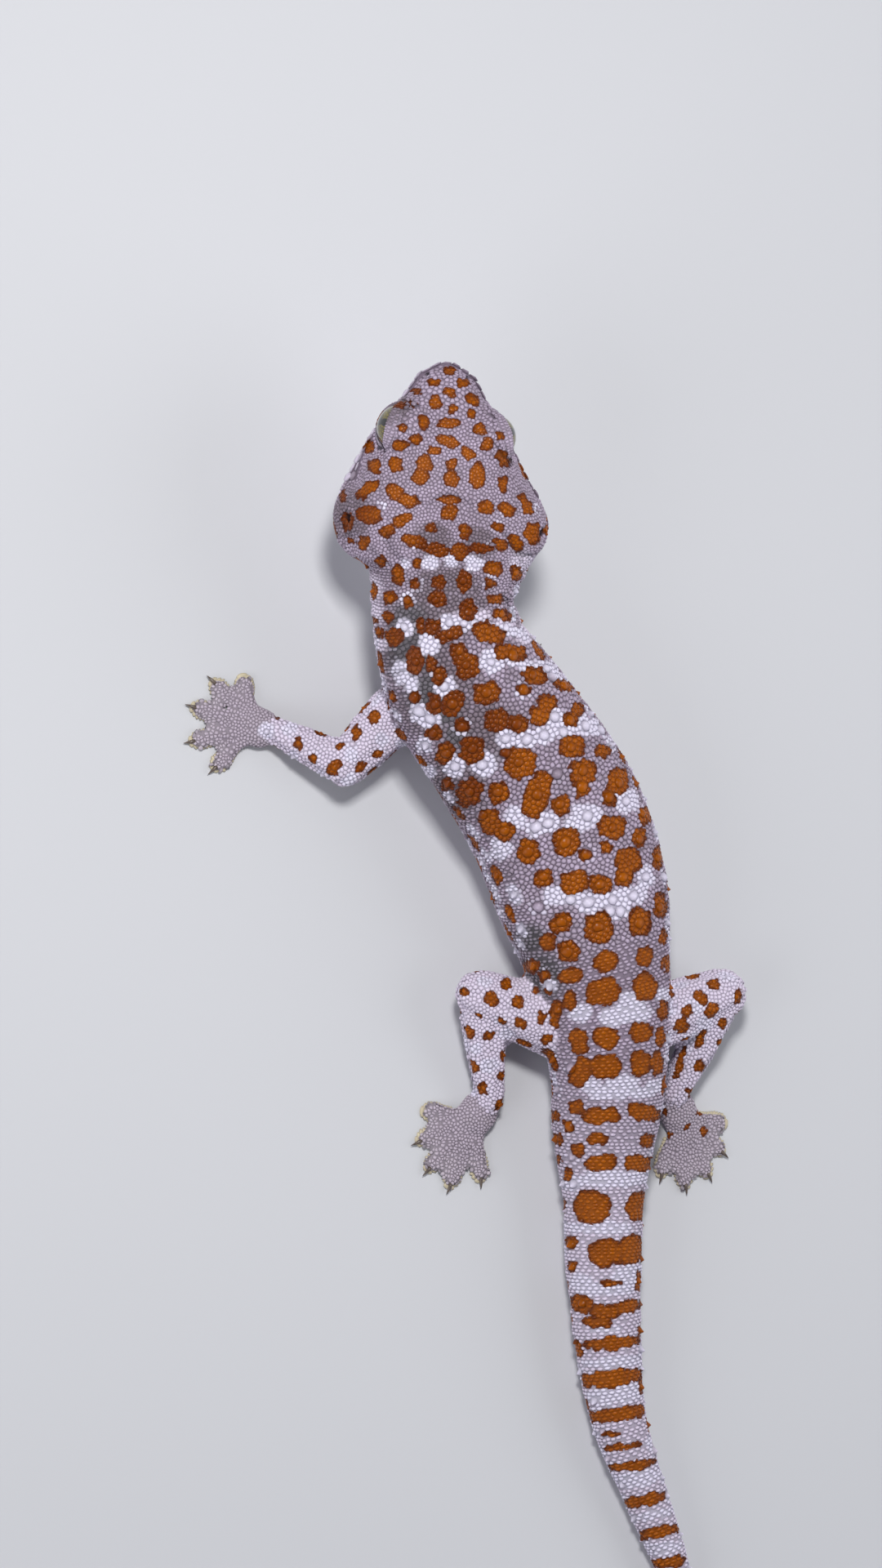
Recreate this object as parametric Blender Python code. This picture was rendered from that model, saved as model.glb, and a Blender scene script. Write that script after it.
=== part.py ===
"""A tokay gecko at life size, at rest with its chest raised on its forelegs and its head up.

Units are metres, with sizes written in millimetres times MM. +Y runs from the tail to the head,
+Z is up and the floor is z = 0. The origin is on the floor, under the middle of the outer box.
The body is one line of cross-sections from the snout to the tail tip, parted into named lengths.
Each leg is an upper and a lower segment and a foot, each cut clear of what carries it.
"""

import math
import random
from typing import NamedTuple

import bmesh
import bpy
from mathutils import Matrix, Vector

MM = 0.001
GAP = 0.3 * MM
UP = Vector((0, 0, 1))

# Moves the whole plan, so that the origin is under the middle of the animal's outer box.
PLAN_SHIFT = Vector((6.2, 1.0, 0)) * MM

SKIN_COLOUR = (0.36, 0.35, 0.44)
THROAT_COLOUR = (0.60, 0.58, 0.62)
TAIL_COLOUR = (0.40, 0.37, 0.40)
TOE_COLOUR = (0.50, 0.45, 0.42)
EYE_COLOUR = (0.36, 0.29, 0.07)


class Section(NamedTuple):
    """One cross-section: the middle of its widest level, how far it reaches from there, its roll.

    The sizes are in millimetres. A positive roll, in degrees, tips the crown to the left.
    A squareness of 2 is an ellipse, and more is boxier.
    """

    x: float
    y: float
    height: float
    half_width: float
    rise: float
    drop: float
    roll: float = 0.0
    squareness: float = 2.0


# On the head the widest level is the line of the mouth.
SECTIONS = (
    Section(-19.2, 146.5, 31.0, 1.8, 1.9, 1.2, 10),  # snout tip
    Section(-19.2, 145.6, 31.0, 4.1, 4.0, 2.6, 10, 2.1),  # rostral edge
    Section(-19.2, 143.8, 30.8, 5.9, 5.7, 4.0, 10, 2.2),  # nostrils
    Section(-19.2, 141.6, 30.5, 7.3, 6.8, 5.0, 10, 2.3),
    Section(-19.2, 138.9, 30.1, 8.9, 7.9, 6.1, 10, 2.4),  # muzzle
    Section(-19.2, 136.2, 29.7, 10.8, 9.2, 7.0, 10, 2.5),  # before the eyes
    Section(-19.2, 132.6, 29.1, 12.9, 10.6, 8.1, 10, 2.6),  # eyes
    Section(-19.2, 127.5, 28.4, 15.6, 11.4, 9.2, 10, 2.5),  # behind the eyes
    Section(-19.2, 122.0, 27.7, 18.9, 11.7, 10.1, 10, 2.4),  # temples
    Section(-19.0, 116.5, 27.1, 21.3, 11.5, 10.7, 10, 2.3),  # jaw muscles
    Section(-18.6, 112.8, 26.6, 21.1, 11.1, 10.8, 9, 2.2),  # jaw angle
    Section(-18.0, 109.2, 26.0, 18.9, 10.6, 10.7, 8, 2.1),  # nape
    Section(-17.7, 105.5, 25.3, 15.7, 10.2, 10.2, 7),  # front of the neck
    Section(-17.8, 100.2, 24.4, 14.3, 10.2, 10.4, 6),  # neck
    Section(-15.9, 92.6, 22.6, 14.9, 11.2, 11.6, 4),  # base of the neck
    Section(-11.7, 84.2, 20.3, 16.4, 12.0, 12.6, 2, 2.1),  # shoulders
    Section(-2.4, 73.0, 17.6, 17.2, 12.4, 13.4, 0, 2.2),  # chest
    Section(8.9, 57.8, 14.4, 18.0, 12.8, 14.9, 0, 2.2),  # middle of the trunk
    Section(15.4, 41.8, 12.8, 17.4, 12.6, 13.8, 0, 2.2),  # belly
    Section(18.8, 28.2, 11.8, 14.6, 12.0, 12.7, 0, 2.2),  # loins
    Section(20.7, 16.2, 11.0, 13.0, 11.2, 11.9, 0, 2.2),  # hips
    Section(21.6, 5.0, 9.7, 11.6, 10.0, 10.5, 0, 2.1),  # pelvis
    Section(21.2, -4.6, 8.5, 10.9, 8.8, 9.2, 0),  # vent
    Section(21.5, -17.4, 7.2, 8.4, 7.6, 7.8, 0),  # base of the tail
    Section(21.6, -30.2, 6.7, 7.9, 7.0, 7.3, 0),
    Section(22.8, -46.2, 5.9, 6.9, 6.2, 6.4, 0),
    Section(25.5, -62.2, 4.9, 5.7, 5.2, 5.4, 0),
    Section(31.7, -78.2, 4.0, 4.6, 4.2, 4.4, 0),
    Section(37.0, -91.0, 3.3, 3.7, 3.5, 3.7, 0),
    Section(41.6, -108.6, 2.5, 2.8, 2.6, 2.9, 0),
    Section(42.9, -126.2, 1.8, 1.9, 1.9, 2.1, 0),
    Section(41.0, -139.8, 1.2, 1.3, 1.3, 1.5, 0),
    Section(38.2, -148.5, 0.7, 0.6, 0.7, 0.9, 0),  # tail tip
)

# The places along Y, before the plan is moved, where one length of the body meets the next.
NAPE_Y = 107.6 * MM
NECK_BASE_Y = 89.0 * MM
CHEST_END_Y = 63.0 * MM
BELLY_END_Y = 33.0 * MM
VENT_Y = -6.0 * MM
TAIL_BASE_END_Y = -38.0 * MM
TAIL_MIDDLE_END_Y = -74.0 * MM
TAIL_REAR_END_Y = -112.0 * MM

HEAD_SIDES = 30
HEAD_STEP = 2.3 * MM
TRUNK_SIDES = 24
TRUNK_STEP = 3.6 * MM
TAIL_SIDES = 20
TAIL_STEP = 3.1 * MM
TAIL_TIP_SIDES = 12
TAIL_TIP_STEP = 4.0 * MM

# The head is turned a little, so that its left side is ahead of its right. The slope is the shift
# along the body for each millimetre across it, in full on the head and fading out over the neck.
HEAD_TURN_SLOPE = 0.07
HEAD_TURN_FULL_TO = 36 * MM
HEAD_TURN_NONE_FROM = 56 * MM

# On the head, stations are distances from the snout tip along the body.
EYE_STATION = 13.4 * MM
EYE_RADIUS = 4.7 * MM
EYE_SIDE = 9.0 * MM
EYE_RISE = 4.95 * MM
EYE_LOOKS = (0.85, 0.42, 0.26)  # outward, up and forward
ORBIT_HALF_SIZES = (5.5 * MM, 7.8 * MM, 6.4 * MM)  # outward, along the head, across
ORBIT_DEPTH = 1.7 * MM
LID_RING_RADIUS = 4.5 * MM
LID_THICKNESS = 0.7 * MM
HOOD_THICKNESS = 0.5 * MM
HOOD_SLOPE = math.radians(52)  # of the hood's rim, over the level across the head
HOOD_LOWEST = -0.10  # share of the eye's radius from its middle to the plane of the hood's rim
NOSTRIL_STATION = 2.5 * MM
NOSTRIL_RADIUS = 0.65 * MM
NOSTRIL_ELEVATION = 32
EAR_STATION = 31.8 * MM
EAR_ELEVATION = 14
EAR_HALF_SIZES = (1.7 * MM, 1.2 * MM, 2.1 * MM)  # deep, along the head, up and down
MOUTH_CORNER = 25.8 * MM
MOUTH_CORNER_RISE = 0.6 * MM
MOUTH_LINE = ((3, 0.0), (10.5, -0.4), (18.5, -0.5), (22.5, -0.1))  # station, height in mm
JAW_BACK = ((2.5, -2), (6.5, -18))  # behind the mouth's corner, height in mm
JAW_BLOCK_REACH = 30 * MM

# Reliefs of the head: a height, then middles and spreads in degrees over the horizontal, and in
# metres along the head.
LIP_RIDGE = 0.4 * MM
LIP_SPREAD = 10
LIP_END_SPREAD = 3 * MM
CANTHUS_RIDGE = 0.55 * MM
CANTHUS_ELEVATIONS = (52, 14)
CANTHUS_STATIONS = (9 * MM, 5 * MM)
CROWN_HOLLOW = 0.8 * MM
CROWN_ELEVATIONS = (90, 24)
CROWN_STATIONS = (15 * MM, 7 * MM)
MOUTH_CROWDING = 0.25  # how much closer a ring's corners stand at the mouth, in radians

# Tubercles: their heights are shares of the size of the face that each is raised from.
TRUNK_TUBERCLE_SHARE = 0.27
TAIL_TUBERCLE_SHARE = 0.42
TUBERCLE_LEAN = 0.45
TUBERCLE_MARGIN = 0.22
TUBERCLE_VARIATION = 0.15
TUBERCLE_SEED = 7
TAIL_WHORL_COLUMNS = (0, 2, 4, 15, 17, 19)


class Leg(NamedTuple):
    """One leg. Points are (x, y, height) and sizes are radii or lengths, in millimetres.

    The heading is the foot's, and the toes' angles are from it, first toe first, in degrees.
    """

    side: str
    names: tuple
    root: tuple
    bend: tuple
    end: tuple
    root_radius: float
    bend_radius: float
    end_radius: float
    heading: float
    toe_angles: tuple
    toe_lengths: tuple


FORE_NAMES = ("upper_arm", "forearm", "hand")
HIND_NAMES = ("thigh", "shank", "foot")
FORE_TOES = (6.6, 8.8, 9.8, 9.8, 8.0)
HIND_TOES = (7.2, 9.4, 11.2, 11.8, 9.6)
LEGS = (
    Leg("left", FORE_NAMES, (-19, 83, 14), (-32.5, 68.0, 8.6), (-45.0, 74.5, 3.5), 6.0, 4.5, 2.8,
        166, (-60, -31, -3, 26, 57), FORE_TOES),
    Leg("right", FORE_NAMES, (-1, 84, 13), (20.0, 68.5, 8), (2.2, 78.6, 3.5), 5.8, 4.4, 2.8,
        103, (58, 29, 1, -28, -56), FORE_TOES),
    Leg("left", HIND_NAMES, (15, 15, 10), (-4.5, 22.5, 8.6), (-1.0, 2.0, 3.6), 7.0, 5.2, 2.9,
        -124, (-58, -31, -8, 13, 38), HIND_TOES),
    Leg("right", HIND_NAMES, (25, 15.5, 10), (45.6, 22.4, 8.6), (37.6, 2.6, 3.6), 7.0, 5.2, 2.9,
        -70, (54, 29, 8, -12, -33), HIND_TOES),
)
LEG_SIDES = 14
LEG_SWELL = 0.06  # share by which a segment is thicker half-way
LEG_END_SLOPES = (30, 58, 80)  # degrees up a segment's round end
LOWER_ROOT_SHARE = 0.94  # a lower segment's first radius over the bend's
FORE_TRUNK = (102 * MM, 48 * MM)  # the lengths of the trunk that the legs are cut clear of
HIND_TRUNK = (45 * MM, -22 * MM)
WRIST_SIDES = 8
WRIST_SHARES = (0.85, 0.68)  # the wrist's two radii over the end of the lower segment's
PALM_HALF_SIZES = (5.0 * MM, 4.3 * MM, 2.7 * MM)  # along the foot, across, up and down
PALM_REACH = 3.6 * MM
PALM_HEIGHT = 1.7 * MM
TOE_SIDES = 7
TOE_INSIDE_PALM = 2.0 * MM
TOE_ROOT = 2.0  # mm of each toe inside the palm
CLAW_LENGTH = 2.4 * MM
CLAW_RADIUS = 0.5 * MM
CLAW_TIP_RADIUS = 0.12 * MM
CLAW_PLACE = 0.9  # share of the toe's length
CLAW_HEIGHT = 0.95 * MM
CLAW_SLOPE = 0.25


class ToeRing(NamedTuple):
    """One ring of a toe, at a share of its length, with its sizes in millimetres."""

    share: float
    half_width: float
    half_height: float
    height: float


TOE_RINGS = (
    ToeRing(0.00, 1.3, 1.2, 1.5),
    ToeRing(0.32, 1.1, 1.0, 1.6),
    ToeRing(0.50, 1.4, 0.85, 1.0),
    ToeRing(0.66, 2.0, 0.8, 0.65),
    ToeRing(0.88, 2.05, 0.75, 0.6),
    ToeRing(1.00, 0.9, 0.5, 0.5),
)


def bump(value, middle, spread):
    """1 at the middle, fading smoothly to nothing past about two spreads."""
    return math.exp(-(((value - middle) / spread) ** 2))


def smooth_between(rows, knots, at):
    """A smooth curve through the rows at the knots, read at one place."""
    last = len(knots) - 1
    i = next((k for k in range(1, last) if knots[k] >= at), last)
    span = knots[i] - knots[i - 1]
    share = (at - knots[i - 1]) / span

    def slope(k):
        low, high = max(k - 1, 0), min(k + 1, last)
        return (rows[high] - rows[low]) / (knots[high] - knots[low])

    return (
        rows[i - 1] * (2 * share**3 - 3 * share**2 + 1)
        + slope(i - 1) * span * (share**3 - 2 * share**2 + share)
        + rows[i] * (3 * share**2 - 2 * share**3)
        + slope(i) * span * (share**3 - share**2)
    )


def section_stations():
    stations = [0.0]
    for before, after in zip(SECTIONS, SECTIONS[1:]):
        stations.append(stations[-1] + math.dist(before[:3], after[:3]) * MM)
    return stations


SECTION_ROWS = [Vector(section) for section in SECTIONS]
SECTION_STATIONS = section_stations()
BODY_LENGTH = SECTION_STATIONS[-1]


def section_at(station):
    """The cross-section at a distance from the snout tip along the body, in metres."""
    return Section(*smooth_between(SECTION_ROWS, SECTION_STATIONS, station))


def centre_at(station):
    section = section_at(station)
    return Vector((section.x, section.y, section.height)) * MM + PLAN_SHIFT


def station_at_y(y):
    """The station where the body's line passes a place along Y, found by halving."""
    low, high = 0.0, BODY_LENGTH
    while high - low > 0.01 * MM:
        middle = (low + high) / 2
        if section_at(middle).y * MM > y:
            low = middle
        else:
            high = middle
    return low


def frame_at(station):
    """(centre, right, up, forward) of the body at a station, rolled with it."""
    reach = 0.5 * MM
    ahead = centre_at(max(station - reach, 0))
    behind = centre_at(min(station + reach, BODY_LENGTH))
    forward = (ahead - behind).normalized()
    right = forward.cross(UP).normalized()
    up = right.cross(forward)
    roll = math.radians(section_at(station).roll)
    rolled_right = right * math.cos(roll) + up * math.sin(roll)
    rolled_up = up * math.cos(roll) - right * math.sin(roll)
    return centre_at(station), rolled_right, rolled_up, forward


def head_turn_slope(station):
    fading = (station - HEAD_TURN_FULL_TO) / (HEAD_TURN_NONE_FROM - HEAD_TURN_FULL_TO)
    fading = max(0.0, min(1.0, fading))
    return HEAD_TURN_SLOPE * (1 - fading * fading * (3 - 2 * fading))


def body_point(station, across, above):
    """A point by its station, its distance to the right and its height over the widest level.

    A station below 0 is ahead of the snout.
    """
    centre, right, up, forward = frame_at(max(station, 0))
    ahead = max(-station, 0) - head_turn_slope(station) * across
    return centre + right * across + up * above + forward * ahead


def signed_power(value, power):
    return math.copysign(abs(value) ** power, value)


def skin_point(station, angle, grow=0.0, relief=None):
    """The body's surface at an angle round it, counted from the right over the crown."""
    section = section_at(station)
    power = 2 / section.squareness
    reach = section.rise if math.sin(angle) > 0 else section.drop
    across = (section.half_width * MM + grow) * signed_power(math.cos(angle), power)
    above = (reach * MM + grow) * signed_power(math.sin(angle), power)
    if relief:
        radius = math.hypot(across, above)
        stretch = 1 + relief(station, angle) / radius
        across, above = across * stretch, above * stretch
    return body_point(station, across, above)


def elevation_of(angle):
    """Degrees over the horizontal, the same on the left and the right."""
    return math.degrees(math.atan2(math.sin(angle), abs(math.cos(angle))))


def head_relief(station, angle):
    """The lips' edge, the ridge from nostril to eye and the hollow of the crown, in metres."""
    elevation = elevation_of(angle)
    past_corner = max(station - MOUTH_CORNER, 0)
    lips = LIP_RIDGE * bump(elevation, 0, LIP_SPREAD) * bump(past_corner, 0, LIP_END_SPREAD)
    ridge = CANTHUS_RIDGE * bump(elevation, *CANTHUS_ELEVATIONS) * bump(station, *CANTHUS_STATIONS)
    hollow = CROWN_HOLLOW * bump(elevation, *CROWN_ELEVATIONS) * bump(station, *CROWN_STATIONS)
    return lips + ridge - hollow


def even_angles(sides):
    """Angles round a ring, starting straight up."""
    return [math.pi / 2 + 2 * math.pi * k / sides for k in range(sides)]


def mouth_angles(sides):
    """Angles round a ring, set closer at the line of the mouth."""
    return [angle - MOUTH_CROWDING * math.sin(2 * angle) for angle in even_angles(sides)]


def stations_between(start, end, step):
    count = max(2, round((end - start) / step))
    return [start + (end - start) * k / count for k in range(count + 1)]


def loft(rings):
    """A closed mesh through rings of points, and its rows of side faces."""
    bm = bmesh.new()
    rows = [[bm.verts.new(point) for point in ring] for ring in rings]
    sides = len(rows[0])
    faces = [
        [bm.faces.new((a[k], a[(k + 1) % sides], b[(k + 1) % sides], b[k])) for k in range(sides)]
        for a, b in zip(rows, rows[1:])
    ]
    bm.faces.new(rows[0])
    bm.faces.new(rows[-1])
    bmesh.ops.recalc_face_normals(bm, faces=bm.faces)
    return bm, faces


def body_rings(stations, angles, grow=0.0, relief=None, on_floor=True):
    """Rings of the body's surface, flattened where they reach the floor."""
    rings = [[skin_point(station, angle, grow, relief) for angle in angles] for station in stations]
    if on_floor:
        for ring in rings:
            for point in ring:
                point.z = max(point.z, 0.0)
    return rings


def make_object(name, bm, colour=SKIN_COLOUR, roughness=0.55):
    """A named object from a bmesh, with its own material."""
    material = bpy.data.materials.new(name)
    material.use_nodes = True
    shader = material.node_tree.nodes["Principled BSDF"]
    shader.inputs["Base Color"].default_value = (*colour, 1)
    shader.inputs["Roughness"].default_value = roughness
    shader.inputs["Metallic"].default_value = 0
    mesh = bpy.data.meshes.new(name)
    bm.to_mesh(mesh)
    bm.free()
    mesh.materials.append(material)
    obj = bpy.data.objects.new(name, mesh)
    bpy.context.scene.collection.objects.link(obj)
    return obj


def make_tool(bm):
    """An object that only joins or cuts another."""
    mesh = bpy.data.meshes.new("tool")
    bm.to_mesh(mesh)
    bm.free()
    obj = bpy.data.objects.new("tool", mesh)
    bpy.context.scene.collection.objects.link(obj)
    return obj


def islands_of(bm):
    """The vertices of each loose part."""
    left, islands = set(bm.verts), []
    while left:
        island, search = set(), [next(iter(left))]
        while search:
            vert = search.pop()
            if vert not in island:
                island.add(vert)
                search += [edge.other_vert(vert) for edge in vert.link_edges]
        islands.append(list(island))
        left -= island
    return islands


def keep_largest(obj):
    """Drops all but the largest closed surface of an object."""
    bm = bmesh.new()
    bm.from_mesh(obj.data)
    for island in sorted(islands_of(bm), key=len)[:-1]:
        bmesh.ops.delete(bm, geom=island, context="VERTS")
    bm.to_mesh(obj.data)
    bm.free()


def apply_boolean(obj, operation, tools, solver="EXACT"):
    """Joins obj with closed tools, or cuts it by them, in one Boolean, and removes the tools."""
    group = bpy.data.collections.new("tools")
    bpy.context.scene.collection.children.link(group)
    for tool in tools:
        bpy.context.scene.collection.objects.unlink(tool)
        group.objects.link(tool)
    modifier = obj.modifiers.new("tools", "BOOLEAN")
    modifier.operation = operation
    modifier.operand_type = "COLLECTION"
    modifier.collection = group
    modifier.solver = solver
    graph = bpy.context.evaluated_depsgraph_get()
    made = bpy.data.meshes.new_from_object(obj.evaluated_get(graph))
    obj.modifiers.remove(modifier)
    material = obj.data.materials[0]
    obj.data = made
    made.materials.clear()
    made.materials.append(material)
    for tool in tools:
        bpy.data.objects.remove(tool)
    bpy.data.collections.remove(group)
    keep_largest(obj)


def ellipsoid(centre, half_axes, segments=16):
    """A closed ellipsoid from a centre and three half axes, each a vector."""
    bm = bmesh.new()
    columns = Matrix([list(axis) for axis in half_axes]).transposed().to_4x4()
    matrix = Matrix.Translation(centre) @ columns
    bmesh.ops.create_uvsphere(
        bm, u_segments=segments, v_segments=segments * 5 // 8, radius=1, matrix=matrix
    )
    bmesh.ops.recalc_face_normals(bm, faces=bm.faces)
    return bm


def ball(centre, radius, segments=16):
    return ellipsoid(centre, [axis * radius for axis in Matrix.Identity(3)], segments)


def torus(centre, axis, ring_radius, tube_radius, ring_sides=20, tube_sides=6):
    """A closed ring round an axis, spun from a circle."""
    bm = bmesh.new()
    side = axis.orthogonal().normalized()
    turn = Matrix([side, axis, side.cross(axis)]).transposed().to_4x4()
    place = Matrix.Translation(centre + side * ring_radius) @ turn
    bmesh.ops.create_circle(bm, segments=tube_sides, radius=tube_radius, matrix=place)
    circle = list(bm.verts) + list(bm.edges)
    bmesh.ops.spin(
        bm, geom=circle, cent=centre, axis=axis, angle=2 * math.pi, steps=ring_sides, use_merge=True
    )
    bmesh.ops.remove_doubles(bm, verts=bm.verts, dist=0.01 * MM)
    bmesh.ops.recalc_face_normals(bm, faces=bm.faces)
    return bm


def raise_tubercles(bm, faces, stations, is_chosen, share):
    """Raises a blunt spine in the surface on each chosen face of a loft, leaning to the tail.

    is_chosen(row, column, face) says where they go. share is the height over the face's size.
    """
    draw = random.Random(TUBERCLE_SEED)
    bm.normal_update()
    for row, row_faces in enumerate(faces):
        tailward = -frame_at(stations[row])[3]
        for column, face in enumerate(row_faces):
            if not is_chosen(row, column, face):
                continue
            size = math.sqrt(face.calc_area())
            height = size * share * draw.uniform(1 - TUBERCLE_VARIATION, 1 + TUBERCLE_VARIATION)
            bmesh.ops.inset_individual(bm, faces=[face], thickness=size * TUBERCLE_MARGIN)
            made = bmesh.ops.poke(bm, faces=[face], offset=height)
            for vert in made["verts"]:
                vert.co += tailward * height * TUBERCLE_LEAN


def leg_points(leg):
    """The leg's root, bend and end, in metres."""
    return [Vector(point) * MM + PLAN_SHIFT for point in (leg.root, leg.bend, leg.end)]


def leg_is_near(point, margin=2.0 * MM):
    """Whether a leg leaves the body, or lies against it, at a point of its surface."""
    for leg in LEGS:
        root, bend, end = leg_points(leg)
        for start, stop, radius in ((root, bend, leg.root_radius), (bend, end, leg.bend_radius)):
            along = stop - start
            share = max(0, min(1, (point - start).dot(along) / along.length_squared))
            if (point - start - along * share).length < radius * MM + margin:
                return True
    return False


def on_the_back(face, lowest=0.1):
    return face.normal.z > lowest and not leg_is_near(face.calc_center_median())


def trunk_tubercles(row, column, face):
    return (row + column) % 2 == 0 and on_the_back(face)


def tail_tubercles(row, column, face):
    return row % 2 == 0 and column in TAIL_WHORL_COLUMNS and on_the_back(face)


def body_part(name, start, end, sides, step, is_chosen=None, share=0.0, colour=SKIN_COLOUR):
    """One length of the body between two stations, with half the gap left at each end."""
    stations = stations_between(start + GAP / 2, end - GAP / 2, step)
    bm, faces = loft(body_rings(stations, even_angles(sides)))
    if is_chosen:
        raise_tubercles(bm, faces, stations, is_chosen, share)
    return make_object(name, bm, colour)


def make_body():
    """The neck, the trunk's lengths and the tail's lengths, from front to back."""
    nape, neck_base, chest_end, belly_end, vent, base_end, middle_end, rear_end = (
        station_at_y(y)
        for y in (
            NAPE_Y, NECK_BASE_Y, CHEST_END_Y, BELLY_END_Y,
            VENT_Y, TAIL_BASE_END_Y, TAIL_MIDDLE_END_Y, TAIL_REAR_END_Y,
        )
    )
    trunk = (TRUNK_SIDES, TRUNK_STEP, trunk_tubercles, TRUNK_TUBERCLE_SHARE)
    body_part("neck", nape, neck_base, *trunk)
    body_part("chest", neck_base, chest_end, *trunk)
    body_part("belly", chest_end, belly_end, *trunk)
    body_part("pelvis", belly_end, vent, *trunk)
    tail = (TAIL_SIDES, TAIL_STEP, tail_tubercles, TAIL_TUBERCLE_SHARE, TAIL_COLOUR)
    body_part("tail_base", vent, base_end, *tail)
    body_part("tail_middle", base_end, middle_end, *tail)
    body_part("tail_rear", middle_end, rear_end, *tail)
    body_part("tail_tip", rear_end, BODY_LENGTH, TAIL_TIP_SIDES, TAIL_TIP_STEP, colour=TAIL_COLOUR)


def head_loft():
    stations = stations_between(0, station_at_y(NAPE_Y) - GAP / 2, HEAD_STEP)
    bm, _ = loft(body_rings(stations, mouth_angles(HEAD_SIDES), relief=head_relief))
    return bm


def jaw_region(clearance):
    """A block round the lower jaw: under the mouth's line, and ahead of a line down to the throat.

    The clearance moves both of its lines away from the jaw.
    """
    corner, far = MOUTH_CORNER, JAW_BLOCK_REACH
    mouth = [(station * MM, above * MM) for station, above in MOUTH_LINE]
    back = [(corner + behind * MM, above * MM) for behind, above in JAW_BACK]
    lowest = back[-1][1]
    outline = [(-far, 0), *mouth, (corner, MOUTH_CORNER_RISE), *back, (-far, lowest)]
    bm = bmesh.new()
    rings = []
    for side in (-far, far):
        ring = []
        for station, above in outline:
            moved = clearance if station >= corner else 0
            raised = clearance if above > -1 * MM else 0
            ring.append(bm.verts.new(body_point(station + moved, side, above + raised)))
        rings.append(ring)
    count = len(outline)
    for k in range(count):
        following = (k + 1) % count
        bm.faces.new((rings[0][k], rings[0][following], rings[1][following], rings[1][k]))
    for ring in rings:
        bm.faces.new(ring)
    bmesh.ops.recalc_face_normals(bm, faces=bm.faces)
    return make_tool(bm)


def eye_frame(side):
    """(centre, outward, along, up) of an eye; side is -1 on the left and 1 on the right."""
    _, right, up, forward = frame_at(EYE_STATION)
    centre = body_point(EYE_STATION, side * EYE_SIDE, EYE_RISE)
    aside, upward, ahead = EYE_LOOKS
    outward = (right * side * aside + up * upward + forward * ahead).normalized()
    along = (forward - outward * forward.dot(outward)).normalized()
    return centre, outward, along, outward.cross(along)


def make_eyes():
    for name, side in (("eye_left", -1), ("eye_right", 1)):
        centre = eye_frame(side)[0]
        make_object(name, ball(centre, EYE_RADIUS, 18), EYE_COLOUR, 0.15)


def lid_hood(side):
    """The fold of skin that covers the top of an eye: a larger ball, cut off at the hood's rim."""
    _, right, up, _ = frame_at(EYE_STATION)
    centre = eye_frame(side)[0]
    bm = ball(centre, EYE_RADIUS + GAP + HOOD_THICKNESS, 18)
    inward = up * math.cos(HOOD_SLOPE) - right * side * math.sin(HOOD_SLOPE)
    cut = bmesh.ops.bisect_plane(
        bm, geom=list(bm.verts) + list(bm.edges) + list(bm.faces), dist=0.01 * MM,
        plane_co=centre + inward * EYE_RADIUS * HOOD_LOWEST, plane_no=inward, clear_inner=True,
    )
    rim = [item for item in cut["geom_cut"] if isinstance(item, bmesh.types.BMEdge)]
    bmesh.ops.holes_fill(bm, edges=rim)
    bmesh.ops.recalc_face_normals(bm, faces=bm.faces)
    return make_tool(bm)


def head_additions():
    """The swelling, the lid and the hood round each eye."""
    tools = []
    for side in (-1, 1):
        centre, outward, along, across = eye_frame(side)
        half_axes = [axis * size for axis, size in zip((outward, along, across), ORBIT_HALF_SIZES)]
        tools.append(make_tool(ellipsoid(centre - outward * ORBIT_DEPTH, half_axes, 16)))
        lid_lift = math.sqrt((EYE_RADIUS + GAP) ** 2 - LID_RING_RADIUS**2)
        tools.append(make_tool(torus(centre + outward * lid_lift, outward, LID_RING_RADIUS, LID_THICKNESS)))
        tools.append(lid_hood(side))
    return tools


def head_hollows():
    """The sockets, the nostrils and the cups of the ears."""
    tools = []
    for side in (-1, 1):
        tools.append(make_tool(ball(eye_frame(side)[0], EYE_RADIUS + GAP, 18)))
        nostril_angle, ear_angle = (
            math.radians(elevation if side > 0 else 180 - elevation)
            for elevation in (NOSTRIL_ELEVATION, EAR_ELEVATION)
        )
        nostril = skin_point(NOSTRIL_STATION, nostril_angle)
        tools.append(make_tool(ball(nostril, NOSTRIL_RADIUS, 10)))
        _, right, up, forward = frame_at(EAR_STATION)
        sizes = [axis * size for axis, size in zip((right, forward, up), EAR_HALF_SIZES)]
        tools.append(make_tool(ellipsoid(skin_point(EAR_STATION, ear_angle), sizes, 12)))
    return tools


def make_head():
    """The head and the lower jaw, parted at the line of the mouth."""
    head = make_object("head", head_loft())
    jaw = make_object("lower_jaw", head_loft(), THROAT_COLOUR)
    apply_boolean(head, "UNION", head_additions())
    apply_boolean(head, "DIFFERENCE", head_hollows() + [jaw_region(GAP / 2)])
    apply_boolean(jaw, "INTERSECT", [jaw_region(-GAP / 2)])


def limb_loft(start, end, start_radius, end_radius, grow=0.0, sides=LEG_SIDES):
    """A tapering limb from inside what carries it to a round end."""
    forward = (end - start).normalized()
    right = forward.cross(UP).normalized()
    up = right.cross(forward)
    length = (end - start).length
    places = []
    for share in (0, 0.25, 0.5, 0.75, 1):
        swell = LEG_SWELL * math.sin(math.pi * share)
        radius = start_radius + (end_radius - start_radius) * share
        places.append((length * share, radius * (1 + swell)))
    for slope in LEG_END_SLOPES:
        turn = math.radians(slope)
        places.append((length + end_radius * math.sin(turn), end_radius * math.cos(turn)))
    rings = []
    for along, radius in places:
        centre = start + forward * along
        reach = radius + grow
        rings.append([
            centre + (right * math.cos(angle) + up * math.sin(angle)) * reach
            for angle in even_angles(sides)
        ])
    if grow:
        rings[0] = [point - forward * grow for point in rings[0]]
        rings[-1] = [point + forward * grow for point in rings[-1]]
    bm, _ = loft(rings)
    return bm


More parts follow.
